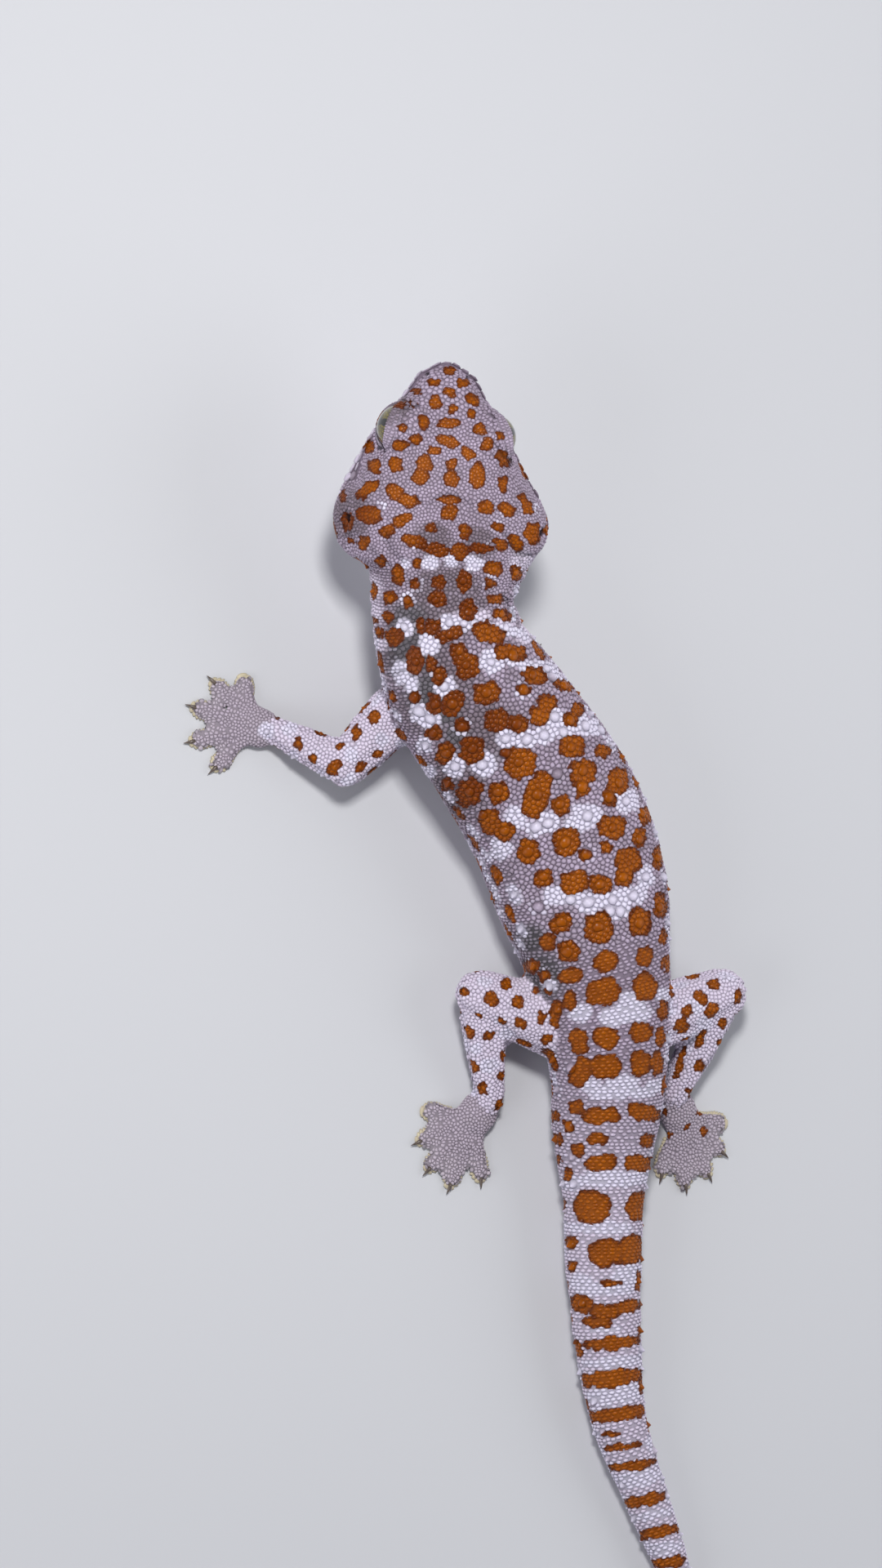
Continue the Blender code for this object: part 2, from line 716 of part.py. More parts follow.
def body_cutter(start_y, end_y):
    """The body between two places, larger by the gap all round, which cuts a leg clear of it."""
    stations = stations_between(station_at_y(start_y), station_at_y(end_y), TRUNK_STEP)
    bm, _ = loft(body_rings(stations, even_angles(TRUNK_SIDES), grow=GAP, on_floor=False))
    return make_tool(bm)


def floor_cutter(middle, half_size=30 * MM):
    """A block under the floor, which leaves a flat at z = 0."""
    bm = bmesh.new()
    place = Matrix.Translation((middle.x, middle.y, -half_size)) @ Matrix.Scale(2 * half_size, 4)
    bmesh.ops.create_cube(bm, size=1, matrix=place)
    return make_tool(bm)


def toe_pieces(palm, angle, length, has_claw):
    """A toe with its wide pad, and its claw."""
    out = Vector((math.cos(angle), math.sin(angle), 0))
    across = UP.cross(out)
    first = Vector((palm.x, palm.y, 0)) + out * TOE_INSIDE_PALM
    rings = []
    for ring in TOE_RINGS:
        centre = first + out * length * ring.share + UP * ring.height * MM
        wide, high = across * ring.half_width * MM, UP * ring.half_height * MM
        rings.append([
            centre + wide * math.cos(turn) + high * math.sin(turn) for turn in even_angles(TOE_SIDES)
        ])
    bm, _ = loft(rings)
    pieces = [make_tool(bm)]
    if has_claw:
        base = first + out * length * CLAW_PLACE + UP * CLAW_HEIGHT
        slope = (out - UP * CLAW_SLOPE).normalized()
        turn = slope.to_track_quat("Z", "Y").to_matrix().to_4x4()
        place = Matrix.Translation(base + slope * CLAW_LENGTH / 2) @ turn
        claw = bmesh.new()
        bmesh.ops.create_cone(
            claw, cap_ends=True, segments=5, radius1=CLAW_RADIUS, radius2=CLAW_TIP_RADIUS,
            depth=CLAW_LENGTH, matrix=place,
        )
        pieces.append(make_tool(claw))
    return pieces


def make_foot(name, leg, cutters):
    """A palm with five toes, flat where it meets the floor and cut clear of the leg."""
    ankle = leg_points(leg)[2]
    heading = math.radians(leg.heading)
    out = Vector((math.cos(heading), math.sin(heading), 0))
    across = UP.cross(out)
    palm = Vector((ankle.x, ankle.y, 0)) + out * PALM_REACH + UP * PALM_HEIGHT
    half_axes = [axis * size for axis, size in zip((out, across, UP), PALM_HALF_SIZES)]
    foot = make_object(name, ellipsoid(palm, half_axes, 14), TOE_COLOUR)
    wrist_radii = [leg.end_radius * MM * share for share in WRIST_SHARES]
    pieces = [make_tool(limb_loft(ankle, palm, *wrist_radii, sides=WRIST_SIDES))]
    for number, (toe_angle, length) in enumerate(zip(leg.toe_angles, leg.toe_lengths)):
        reach = (length + TOE_ROOT) * MM
        pieces += toe_pieces(palm, heading + math.radians(toe_angle), reach, has_claw=number > 0)
    apply_boolean(foot, "UNION", pieces)
    apply_boolean(foot, "DIFFERENCE", cutters + [floor_cutter(palm)])


def make_leg(leg):
    """The upper segment, the lower segment and the foot of one leg."""
    upper_name, lower_name, foot_name = (f"{name}_{leg.side}" for name in leg.names)
    trunk = FORE_TRUNK if leg.names == FORE_NAMES else HIND_TRUNK
    root, bend, end = leg_points(leg)
    radii = [radius * MM for radius in (leg.root_radius, leg.bend_radius, leg.end_radius)]
    upper = (root, bend, radii[0], radii[1])
    lower = (bend, end, radii[1] * LOWER_ROOT_SHARE, radii[2])

    upper_leg = make_object(upper_name, limb_loft(*upper))
    apply_boolean(upper_leg, "DIFFERENCE", [body_cutter(*trunk)])
    lower_leg = make_object(lower_name, limb_loft(*lower))
    upper_cutter = make_tool(limb_loft(*upper, grow=GAP))
    apply_boolean(lower_leg, "DIFFERENCE", [body_cutter(*trunk), upper_cutter])
    make_foot(foot_name, leg, [make_tool(limb_loft(*lower, grow=GAP))])


def main():
    for obj in list(bpy.data.objects):
        bpy.data.objects.remove(obj)
    make_head()
    make_eyes()
    make_body()
    for leg in LEGS:
        make_leg(leg)


main()
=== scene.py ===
# %% [markdown]
# # A tokay gecko at life size
#
# This lesson dresses a plain, faceted gecko with skin, scales, spots, eyes and claws. The plain one
# is loaded first and never moved, because every size and place here is measured from it. The order
# follows a model maker's: the camera and the light, the naked skin, the map of markings, the
# thousands of scales that carry them, and last the eyes, lids, claws and toe pads.

# %% Load the frame and keep its box
import math
import random
from typing import NamedTuple

import bmesh
import bpy
import numpy as np
from mathutils import Matrix, Vector
from mathutils.bvhtree import BVHTree
from mathutils.kdtree import KDTree


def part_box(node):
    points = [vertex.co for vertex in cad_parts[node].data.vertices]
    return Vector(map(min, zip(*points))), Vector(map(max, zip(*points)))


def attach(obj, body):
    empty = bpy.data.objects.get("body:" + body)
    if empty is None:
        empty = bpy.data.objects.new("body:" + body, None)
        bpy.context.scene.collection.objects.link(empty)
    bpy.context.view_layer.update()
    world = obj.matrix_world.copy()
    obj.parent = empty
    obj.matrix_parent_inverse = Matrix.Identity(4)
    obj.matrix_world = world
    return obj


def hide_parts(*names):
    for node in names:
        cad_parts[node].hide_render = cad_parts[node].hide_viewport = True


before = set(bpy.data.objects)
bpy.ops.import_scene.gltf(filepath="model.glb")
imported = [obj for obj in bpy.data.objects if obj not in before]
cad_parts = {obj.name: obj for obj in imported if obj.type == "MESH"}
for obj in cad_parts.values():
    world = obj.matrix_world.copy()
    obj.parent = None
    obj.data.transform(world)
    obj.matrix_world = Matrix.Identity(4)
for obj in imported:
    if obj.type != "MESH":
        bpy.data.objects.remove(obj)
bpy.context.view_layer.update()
MM = 0.001
UP = Vector((0, 0, 1))

# %% [markdown]
# ## The camera
#
# The picture looks down on the back, with the head at the top, tipped 18 degrees to the animal's
# left. A pixel of the 1080 by 1920 picture is 0.16 mm at the height of the back, so one function
# can turn a place read in the picture into a ray towards the animal. Markings are set with it
# later. A long lens from 2 m gives the picture's proportions between head, back and tail.

# %% The camera and the picture's scale
PICTURE_WIDTH = 1080
PICTURE_HEIGHT = 1920
PIXEL = 0.16 * MM
CAMERA_DISTANCE = 2.0
CAMERA_TILT = math.radians(18)
CAMERA_TARGET = Vector((-10.4, 65.2, 20.0)) * MM
SENSOR = 36

image_right = Vector((math.cos(CAMERA_TILT), 0, math.sin(CAMERA_TILT)))
image_up = Vector((0, 1, 0))
towards_camera = Vector((-math.sin(CAMERA_TILT), 0, math.cos(CAMERA_TILT)))
camera_place = CAMERA_TARGET + towards_camera * CAMERA_DISTANCE


def add_camera():
    data = bpy.data.cameras.new("camera")
    data.sensor_width = SENSOR
    data.lens = SENSOR * CAMERA_DISTANCE / (PICTURE_HEIGHT * PIXEL)
    camera = bpy.data.objects.new("camera", data)
    bpy.context.scene.collection.objects.link(camera)
    turn = Matrix((image_right, image_up, towards_camera)).transposed()
    camera.matrix_world = Matrix.Translation(camera_place) @ turn.to_4x4()
    bpy.context.scene.camera = camera
    return camera


def picture_point(across, down):
    """Where a pixel of the picture lies on the plane through the camera's target."""
    right = (across - PICTURE_WIDTH / 2) * PIXEL
    lower = (down - PICTURE_HEIGHT / 2) * PIXEL
    return CAMERA_TARGET + image_right * right - image_up * lower


def picture_place(points):
    """The picture's (across, down) of each point of an array."""
    offsets = points - np.array(camera_place)
    depth = -(offsets @ np.array(towards_camera))
    scale = CAMERA_DISTANCE / depth / PIXEL
    across = PICTURE_WIDTH / 2 + offsets @ np.array(image_right) * scale
    down = PICTURE_HEIGHT / 2 - offsets @ np.array(image_up) * scale
    return across, down


camera = add_camera()
print("lens", round(camera.data.lens, 1), "mm")

# %% [markdown]
# ## Floor and light
#
# The floor is plain and pale. One key light hangs near the camera, small enough to put a
# pinpoint on every wet-looking granule. Two wide panels and a pale world fill the shadows.

# %% The floor and the lights
FLOOR_COLOUR = (0.62, 0.62, 0.64)
KEY_PLACE = Vector((-0.16, 0.30, 0.62))
FILL_PLACES = (Vector((0.55, 0.05, 0.40)), Vector((-0.60, -0.15, 0.35)))


def add_floor():
    bm = bmesh.new()
    bmesh.ops.create_grid(bm, x_segments=1, y_segments=1, size=3.0)
    bmesh.ops.translate(bm, verts=bm.verts, vec=(0, 0, -0.02 * MM))
    mesh = bpy.data.meshes.new("floor")
    bm.to_mesh(mesh)
    bm.free()
    material = bpy.data.materials.new("floor")
    material.use_nodes = True
    shader = material.node_tree.nodes["Principled BSDF"]
    shader.inputs["Base Color"].default_value = (*FLOOR_COLOUR, 1)
    shader.inputs["Roughness"].default_value = 0.9
    mesh.materials.append(material)
    floor = bpy.data.objects.new("floor", mesh)
    bpy.context.scene.collection.objects.link(floor)


def add_panel(name, place, size, power, colour=(1, 1, 1)):
    data = bpy.data.lights.new(name, "AREA")
    data.size = size
    data.energy = power
    data.color = colour
    light = bpy.data.objects.new(name, data)
    light.location = place
    aim = CAMERA_TARGET - place
    light.rotation_euler = aim.to_track_quat("-Z", "Y").to_euler()
    bpy.context.scene.collection.objects.link(light)


def add_world(colour, strength):
    world = bpy.data.worlds.new("studio")
    world.use_nodes = True
    background = world.node_tree.nodes["Background"]
    background.inputs["Color"].default_value = (*colour, 1)
    background.inputs["Strength"].default_value = strength
    bpy.context.scene.world = world


add_floor()
add_panel("key", KEY_PLACE, 0.10, 3.2)
for number, place in enumerate(FILL_PLACES):
    add_panel(f"fill_{number}", place, 0.5, 1.5, (0.93, 0.95, 1.0))
add_world((0.80, 0.84, 0.92), 0.24)
bpy.context.scene.view_settings.view_transform = "Standard"

# %% [markdown]
# ## The line of the body
#
# Scales point to the tail, so each place on the animal needs to know where tailward is. The line
# through the middle of the body is measured from the plain model, slice by slice.

# %% Measure the body's line
AXIAL_NODES = (
    "head", "lower_jaw", "neck", "chest", "belly", "pelvis",
    "tail_base", "tail_middle", "tail_rear", "tail_tip",
)
SLICE = 4.0 * MM


def node_points(names):
    """The corners of the named nodes, as an array of rows."""
    rows = []
    for name in names:
        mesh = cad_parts[name].data
        points = np.empty(len(mesh.vertices) * 3)
        mesh.vertices.foreach_get("co", points)
        rows.append(points.reshape(-1, 3))
    return np.concatenate(rows)


def measure_body_line():
    points = node_points(AXIAL_NODES)
    low, high = points[:, 1].min(), points[:, 1].max()
    stops = np.linspace(low + 1 * MM, high - 1 * MM, int((high - low) / SLICE))
    middles = []
    for stop in stops:
        near = points[np.abs(points[:, 1] - stop) < SLICE]
        middles.append((near.min(0) + near.max(0)) / 2)
    middles = np.array(middles)
    middles[:, 1] = stops
    for _ in range(2):
        middles[1:-1] = (middles[:-2] + 2 * middles[1:-1] + middles[2:]) / 4
    return middles


body_line = measure_body_line()


def line_at(y):
    """The middle of the body at places along Y, and the way to the tail there."""
    middle = np.stack([np.interp(y, body_line[:, 1], body_line[:, k]) for k in range(3)], -1)
    reach = 3 * MM
    ahead = np.stack([np.interp(y + reach, body_line[:, 1], body_line[:, k]) for k in range(3)], -1)
    behind = np.stack([np.interp(y - reach, body_line[:, 1], body_line[:, k]) for k in range(3)], -1)
    tailward = behind - ahead + np.array((0, -0.01 * MM, 0))
    return middle, tailward / np.linalg.norm(tailward, axis=-1, keepdims=True)


print("body line:", len(body_line), "places")

# %% [markdown]
# ## The head's own frame
#
# The head is rolled 10 degrees, crown to the left, and turned a little, so that its left side is
# ahead of its right. Its mouth line runs along its widest level. A small frame of right, up and
# distance from the snout makes it easy to say where a lip, a nostril or an eye is, and it is the
# same on both sides.

# %% The head's frame
HEAD_ROLL = math.radians(10)
HEAD_TURN_SLOPE = 0.07  # the shift along the head for each millimetre across it
SNOUT_TIP = Vector((-13.0, 147.5, 31.0)) * MM
MOUTH_LEVEL = ((113.8, 26.6), (117.5, 27.1), (123.0, 27.7), (128.5, 28.4), (133.6, 29.1),
               (137.2, 29.7), (139.9, 30.1), (142.6, 30.5), (147.5, 31.0))  # y, height in mm
MOUTH_CORNER = 25.8 * MM
EYE_RADIUS = 4.7 * MM
EYE_LOOKS = (0.85, 0.42, 0.26)  # outward, up and forward
NOSTRIL_STATION = 2.8 * MM
NOSTRIL_ELEVATION = math.radians(32)
EAR_STATION = 31.8 * MM
EAR_ELEVATION = math.radians(14)

head_right = Vector((math.cos(HEAD_ROLL), 0, math.sin(HEAD_ROLL)))
head_up = Vector((-math.sin(HEAD_ROLL), 0, math.cos(HEAD_ROLL)))
head_forward = Vector((0, 1, 0.15)).normalized()
head_side = head_right - Vector((0, HEAD_TURN_SLOPE, 0))
level_y, level_z = np.array(MOUTH_LEVEL).T * MM


def head_middle(station):
    y = SNOUT_TIP.y - station
    return Vector((SNOUT_TIP.x, y, float(np.interp(y, level_y, level_z))))


def head_place(points):
    """Distance from the snout, to the right and over the mouth's level, of each point."""
    middle_z = np.interp(points[:, 1], level_y, level_z)
    offset = points - np.stack([np.full(len(points), SNOUT_TIP.x), points[:, 1], middle_z], -1)
    across = offset @ np.array(head_right)
    station = SNOUT_TIP.y - points[:, 1] - HEAD_TURN_SLOPE * across
    return station, across, offset @ np.array(head_up)


def eye_frame(side):
    """(centre, outward, along, up) of an eye; side is -1 on the left and 1 on the right."""
    lowest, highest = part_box("eye_left" if side < 0 else "eye_right")
    centre = (lowest + highest) / 2
    aside, upward, ahead = EYE_LOOKS
    outward = (head_right * side * aside + head_up * upward + head_forward * ahead).normalized()
    along = (head_forward - outward * head_forward.dot(outward)).normalized()
    return centre, outward, along, outward.cross(along) * side


eyes = [eye_frame(side) for side in (-1, 1)]
for centre, *_ in eyes:
    print("eye centre in mm:", [round(v / MM, 1) for v in centre])

# %% [markdown]
# ## The legs and toes
#
# Each leg is two segments and a foot with five toes that spread from the palm. These are the plain
# model's own sizes, repeated here because the claws, the pads and the lie of the scales on the
# legs start from them.

# %% The legs' sizes
PALM_REACH = 3.6 * MM
TOE_INSIDE_PALM = 2.0 * MM
FORE_TOES = (6.6, 8.8, 9.8, 9.8, 8.0)
HIND_TOES = (7.2, 9.4, 11.2, 11.8, 9.6)
FORE_PARTS = ("upper_arm", "forearm", "hand")
HIND_PARTS = ("thigh", "shank", "foot")


class Leg(NamedTuple):
    """A leg: its node names, its root, bend and ankle in mm, its foot's heading in degrees,
    its toes' angles from the heading and their lengths in mm, first toe first."""

    nodes: tuple
    root: tuple
    bend: tuple
    ankle: tuple
    heading: float
    toe_angles: tuple
    toe_lengths: tuple


def leg_nodes(parts, side):
    return tuple(f"{part}_{side}" for part in parts)


LEGS = (
    Leg(leg_nodes(FORE_PARTS, "left"), (-12.8, 84.0, 14.0), (-26.3, 69.0, 8.6), (-38.8, 75.5, 3.5),
        166, (-60, -31, -3, 26, 57), FORE_TOES),
    Leg(leg_nodes(FORE_PARTS, "right"), (5.2, 85.0, 13.0), (26.2, 69.5, 8.0), (8.4, 79.6, 3.5),
        103, (58, 29, 1, -28, -56), FORE_TOES),
    Leg(leg_nodes(HIND_PARTS, "left"), (21.2, 16.0, 10.0), (1.7, 23.5, 8.6), (5.2, 3.0, 3.6),
        -124, (-58, -31, -8, 13, 38), HIND_TOES),
    Leg(leg_nodes(HIND_PARTS, "right"), (31.2, 16.5, 10.0), (51.8, 23.4, 8.6), (43.8, 3.6, 3.6),
        -70, (54, 29, 8, -12, -33), HIND_TOES),
)


class Toe(NamedTuple):
    """A toe: its foot, where it leaves the palm, on the floor, its way, length and number."""

    foot: str
    start: Vector
    out: Vector
    length: float
    number: int


def flat_direction(degrees):
    return Vector((math.cos(math.radians(degrees)), math.sin(math.radians(degrees)), 0))


def palm_of(leg):
    return Vector((*leg.ankle[:2], 0)) * MM + flat_direction(leg.heading) * PALM_REACH


def all_toes():
    toes = []
    for leg in LEGS:
        for number, (angle, length) in enumerate(zip(leg.toe_angles, leg.toe_lengths)):
            out = flat_direction(leg.heading + angle)
            start = palm_of(leg) + out * TOE_INSIDE_PALM
            toes.append(Toe(leg.nodes[2], start, out, (length + 2.0) * MM, number))
    return toes


TOES = all_toes()
print(len(TOES), "toes")

# %% [markdown]
# ## The skin
#
# The plain model is cut into named lengths with thin gaps between them, and its spines are simple
# pyramids. A real skin is one sheet. So the flesh nodes are copied into one mesh, the pyramids are
# pressed flat, and everything grows by a third of a millimetre until the gaps close. A voxel
# remesh then melts the overlapping pieces into one closed surface.

# %% Copy the flesh and melt it into one skin
LEG_NODES = tuple(name for leg in LEGS for name in leg.nodes)
FLESH_NODES = AXIAL_NODES + LEG_NODES
GROW = 0.3 * MM
COAT_DEPTH = 0.35 * MM
VOXEL = 0.75 * MM
SPINE_LEAST = 0.25 * MM


def press_spines_flat(bm):
    """Lowers the tip of each four-sided pyramid to the middle of its corners."""
    bm.normal_update()
    tips = []
    for vert in bm.verts:
        if len(vert.link_edges) != 4:
            continue
        around = [edge.other_vert(vert).co for edge in vert.link_edges]
        middle = sum(around, Vector()) / 4
        if (vert.co - middle).dot(vert.normal) > SPINE_LEAST:
            tips.append((vert, middle))
    for vert, middle in tips:
        vert.co = middle
    return len(tips)


def press_claws_back(bm):
    """Pushes the plain claws back to the toes' ends, because claws are pieces of their own."""
    for vert in bm.verts:
        if vert.co.z > 4 * MM:
            continue
        for toe in TOES:
            offset = vert.co - toe.start
            along = offset.dot(toe.out)
            aside = (offset - toe.out * along).length
            if toe.length < along < toe.length + 4 * MM and aside < 2.2 * MM:
                vert.co -= toe.out * (along - toe.length)


def melt_flesh():
    bm = bmesh.new()
    for name in FLESH_NODES:
        bm.from_mesh(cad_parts[name].data)
    bmesh.ops.remove_doubles(bm, verts=bm.verts, dist=0.01 * MM)
    print("spines pressed flat:", press_spines_flat(bm))
    press_claws_back(bm)
    bm.normal_update()
    for vert in bm.verts:
        vert.co += vert.normal * GROW
        vert.co.z = max(vert.co.z, 0.0)
    mesh = bpy.data.meshes.new("flesh")
    bm.to_mesh(mesh)
    bm.free()
    obj = bpy.data.objects.new("flesh", mesh)
    bpy.context.scene.collection.objects.link(obj)
    modifier = obj.modifiers.new("melt", "REMESH")
    modifier.mode = "VOXEL"
    modifier.voxel_size = VOXEL
    graph = bpy.context.evaluated_depsgraph_get()
    melted = bpy.data.meshes.new_from_object(obj.evaluated_get(graph))
    bpy.data.objects.remove(obj)
    return melted


def keep_largest(bm):
    """Drops every loose scrap but the largest closed surface."""
    left, islands = set(bm.verts), []
    while left:
        island, search = set(), [next(iter(left))]
        while search:
            vert = search.pop()
            if vert not in island:
                island.add(vert)
                search += [edge.other_vert(vert) for edge in vert.link_edges]
        islands.append(island)
        left -= island
    for island in sorted(islands, key=len)[:-1]:
        bmesh.ops.delete(bm, geom=list(island), context="VERTS")
    return len(islands)


skin_mesh = melt_flesh()
print("melted skin:", len(skin_mesh.vertices), "corners")

# %% [markdown]
# ## Finer mesh on the face
#
# Lips, lids and nostrils need corners closer together than the body does. The faces in front of
# the jaw muscles are divided once more, and the rest stays as it is, which keeps the skin light.

# %% Divide the face
FACE_BACK = 119 * MM


def divide_face(mesh):
    bm = bmesh.new()
    bm.from_mesh(mesh)
    pieces = keep_largest(bm)
    edges = [edge for edge in bm.edges if all(vert.co.y > FACE_BACK for vert in edge.verts)]
    bmesh.ops.subdivide_edges(bm, edges=edges, cuts=1, use_grid_fill=True)
    bm.to_mesh(mesh)
    bm.free()
    print("pieces found:", pieces, "and after dividing:", len(mesh.vertices), "corners")


divide_face(skin_mesh)

# %% [markdown]
# ## Smoothing and sinking the skin
#
# The voxels leave small steps. A few rounds of moving each corner towards the middle of its
# neighbours take them out, and a step back after each keeps thin toes from shrinking. Then the
# skin sinks by what it grew and by the depth of the scales, so that the scales' tops lie where the
# plain model's surface is. Thin toes sink less, by a share of their own thickness.

# %% Arrays of the skin, smoothing and sinking
def read_points(mesh, what="co"):
    values = np.empty(len(mesh.vertices) * 3)
    source = mesh.vertices if what == "co" else mesh.vertex_normals
    source.foreach_get(what, values)
    return values.reshape(-1, 3)


def read_edges(mesh):
    ends = np.empty(len(mesh.edges) * 2, dtype=np.int64)
    mesh.edges.foreach_get("vertices", ends)
    return ends.reshape(-1, 2)


def smooth(points, edges, rounds, steps=(0.5, -0.52)):
    """Evens the points out, and moves them back a little after each round."""
    count = np.bincount(edges.ravel(), minlength=len(points))[:, None]
    for step in steps * rounds:
        total = np.zeros_like(points)
        for axis in range(3):
            ends = np.bincount(edges[:, 0], points[edges[:, 1], axis], len(points))
            starts = np.bincount(edges[:, 1], points[edges[:, 0], axis], len(points))
            total[:, axis] = ends + starts
        points = points + step * (total / count - points)
    return points


def write_points(mesh, points):
    mesh.vertices.foreach_set("co", points.ravel())
    mesh.update()


def thickness(mesh, points, normals):
    """How far it is through the body under each corner."""
    tree = tree_of(mesh)
    step = 0.05 * MM
    through = []
    for point, normal in zip(points, normals):
        hit = tree.ray_cast(Vector(point - normal * step), Vector(-normal))
        through.append(hit[3] if hit[3] is not None else 1.0)
    return np.array(through)


def tree_of(mesh):
    bm = bmesh.new()
    bm.from_mesh(mesh)
    tree = BVHTree.FromBMesh(bm)
    bm.free()
    return tree


def sink_skin(mesh):
    edges = read_edges(mesh)
    points = smooth(read_points(mesh), edges, rounds=8)
    write_points(mesh, points)
    normals = read_points(mesh, "vector")
    through = thickness(mesh, points, normals)
    depth = np.minimum(GROW + COAT_DEPTH, 0.22 * through)[:, None]
    points = smooth(points - normals * depth, edges, rounds=2)
    points[:, 2] = np.maximum(points[:, 2], 0.02 * MM)
    write_points(mesh, points)


sink_skin(skin_mesh)
low, high = read_points(skin_mesh).min(0), read_points(skin_mesh).max(0)
print("skin's box in mm:", ((high - low) / MM).round(1))

# %% [markdown]
# ## Which part is this?
#
# Scales differ from part to part, and each points its own way: tailward on the body, down the leg
# on a limb, out along a toe. Each corner of the skin is given the name of the nearest part of the
# plain model, and from that the way its scales lie.

# %% Name each place's part and the lie of its scales
NODE_NUMBER = {name: number for number, name in enumerate(FLESH_NODES)}
FEET = tuple(leg.nodes[2] for leg in LEGS)


def part_finder():
    """A search tree over the plain model's corners and face middles, and their parts."""
    places, owners = [], []
    for name in FLESH_NODES:
        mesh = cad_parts[name].data
        for item in [vert.co for vert in mesh.vertices] + [face.center for face in mesh.polygons]:
            places.append(item.copy())
            owners.append(NODE_NUMBER[name])
    tree = KDTree(len(places))
    for index, place in enumerate(places):
        tree.insert(place, index)
    tree.balance()
    return tree, np.array(owners)


part_tree, part_owner = part_finder()


def parts_at(points):
    """The number of the part that each point belongs to."""
    return part_owner[[part_tree.find(point)[1] for point in points]]


def is_part(parts, names):
    return np.isin(parts, [NODE_NUMBER[name] for name in names])


def unit(rows):
    return rows / np.maximum(np.linalg.norm(rows, axis=1, keepdims=True), 1e-12)


def toe_lie(points, names):
    """The way from the ankle over the palm, turning into the way of the nearest toe."""
    toes = [toe for toe in TOES if toe.foot in names]
    best, lie = np.full(len(points), 1e9), np.zeros((len(points), 3))
    for toe in toes:
        offset = points - np.array(toe.start)
        along = np.clip(offset @ np.array(toe.out), 0, toe.length)
        aside = np.linalg.norm((offset - along[:, None] * np.array(toe.out))[:, :2], axis=1)
        closer = aside < best
        best[closer] = aside[closer]
        lie[closer] = np.array(toe.out)
    return lie


def scale_lie(points, parts):
    """The way the scales point, before it is laid into the surface."""
    lie = line_at(points[:, 1])[1]
    for leg in LEGS:
        joints = [Vector(place) for place in (leg.root, leg.bend, leg.ankle)]
        for name, start, end in zip(leg.nodes, joints, joints[1:]):
            lie[parts == NODE_NUMBER[name]] = np.array((end - start).normalized())
        on_foot = parts == NODE_NUMBER[leg.nodes[2]]
        lie[on_foot] = toe_lie(points[on_foot], (leg.nodes[2],))
    return lie


def lay_into_surface(lie, normals):
    flat = lie - normals * np.sum(lie * normals, axis=1, keepdims=True)
    weak = np.linalg.norm(flat, axis=1) < 0.05
    flat[weak] = np.cross(normals[weak], (1.0, 0.0, 0.0))
    return unit(flat)


skin_points = read_points(skin_mesh)
skin_parts = parts_at(skin_points)
print("corners on the head:", int(is_part(skin_parts, ("head",)).sum()))

# %% [markdown]
# ## Folds, lips and hollows
#
# The mouth is closed, so it shows as a dark line between two rows of lip plates. The nape has
# loose folds across it, and the limbs have soft ones too. Creases that the picture shows, such as
# the notch before each eye and the folds behind the jaw, are lines of places read in it. All of
# these are moves of the skin's corners along their normals, as a sculptor would press and pull
# them. Last, the skin round each eye is pressed in, which leaves room for the lids.

# %% Small helpers for smooth changes
def ripple(points, size, seed):
    """A smooth wandering value between about -1 and 1, made of a few crossed waves."""
    draw = random.Random(seed)
    total = np.zeros(len(points))
    for octave in (1.0, 1.7, 2.6):
        for _ in range(3):
            way = np.array([draw.uniform(-1, 1) for _ in range(3)])
            way *= 2 * math.pi * octave / size / np.linalg.norm(way)
            total += np.sin(points @ way + draw.uniform(0, 6.28)) / octave
    return total / 3.2


def hill(value, middle, spread):
    return np.exp(-(((value - middle) / spread) ** 2))


def fade(value, start, end):
    """0 before the start, 1 after the end, smooth between."""
    share = np.clip((value - start) / (end - start), 0, 1)
    return share * share * (3 - 2 * share)


# %% Creases read in the picture
# Each crease is pressed into the skin and also gets painted shade, as dark as its depth allows.
CREASES = (  # half width and depth in mm, then places in the picture
    (0.45, 0.8, ((494, 487), (497, 494), (502, 498), (507, 496), (512, 494))),
    (0.40, 0.5, ((594, 504), (601, 503), (608, 511), (611, 515))),
    (0.40, 0.4, ((605, 543), (612, 552), (618, 562), (621, 572))),
    (0.45, 0.4, ((511, 612), (518, 617), (524, 618), (532, 612), (540, 608), (549, 607), (560, 609),
                 (568, 614), (577, 618))),
    (0.70, 0.5, ((471, 654), (475, 665), (480, 675), (486, 682), (492, 686))),
    (0.60, 0.4, ((434, 657), (445, 665), (459, 679), (475, 692))),
    (0.60, 0.4, ((619, 654), (626, 668), (634, 679), (637, 688))),
    (0.80, 0.9, ((634, 677), (645, 678), (656, 679), (668, 676))),
    (0.60, 0.5, ((616, 730), (623, 739), (630, 752))),
    (0.50, 0.4, ((455, 838), (463, 831), (477, 826), (493, 823))),
    (0.50, 0.4, ((452, 828), (461, 821), (475, 818))),
)


def line_from_picture(tree, places):
    """The skin's places under a line drawn in the picture."""
    ways = [(picture_point(*place) - camera_place).normalized() for place in places]
    hits = [tree.ray_cast(camera_place, way)[0] for way in ways]
    return [np.array(hit) for hit in hits if hit is not None]


def distance_to_line(points, line):
    nearest = np.full(len(points), 1.0)
    for start, end in zip(line, line[1:]):
        way = end - start
        share = np.clip((points - start) @ way / (way @ way), 0, 1)
        nearest = np.minimum(nearest, np.linalg.norm(points - start - share[:, None] * way, axis=1))
    return nearest


bare_tree = tree_of(skin_mesh)
crease_lines = [line_from_picture(bare_tree, places) for _, _, places in CREASES]
print(len(crease_lines), "creases")


def creases_at(points):
    """How deep the creases are at each point, in metres, and how much painted shade they get, from 0 to 1."""
    deep, crease_shade = np.zeros(len(points)), np.zeros(len(points))
    for (half_width, depth, _), line in zip(CREASES, crease_lines):
        share = np.exp(-((distance_to_line(points, line) / (half_width * MM)) ** 2))
        deep = np.maximum(deep, share * depth * MM)
        crease_shade = np.maximum(crease_shade, share * min(depth / 0.7, 1))
    return deep, crease_shade


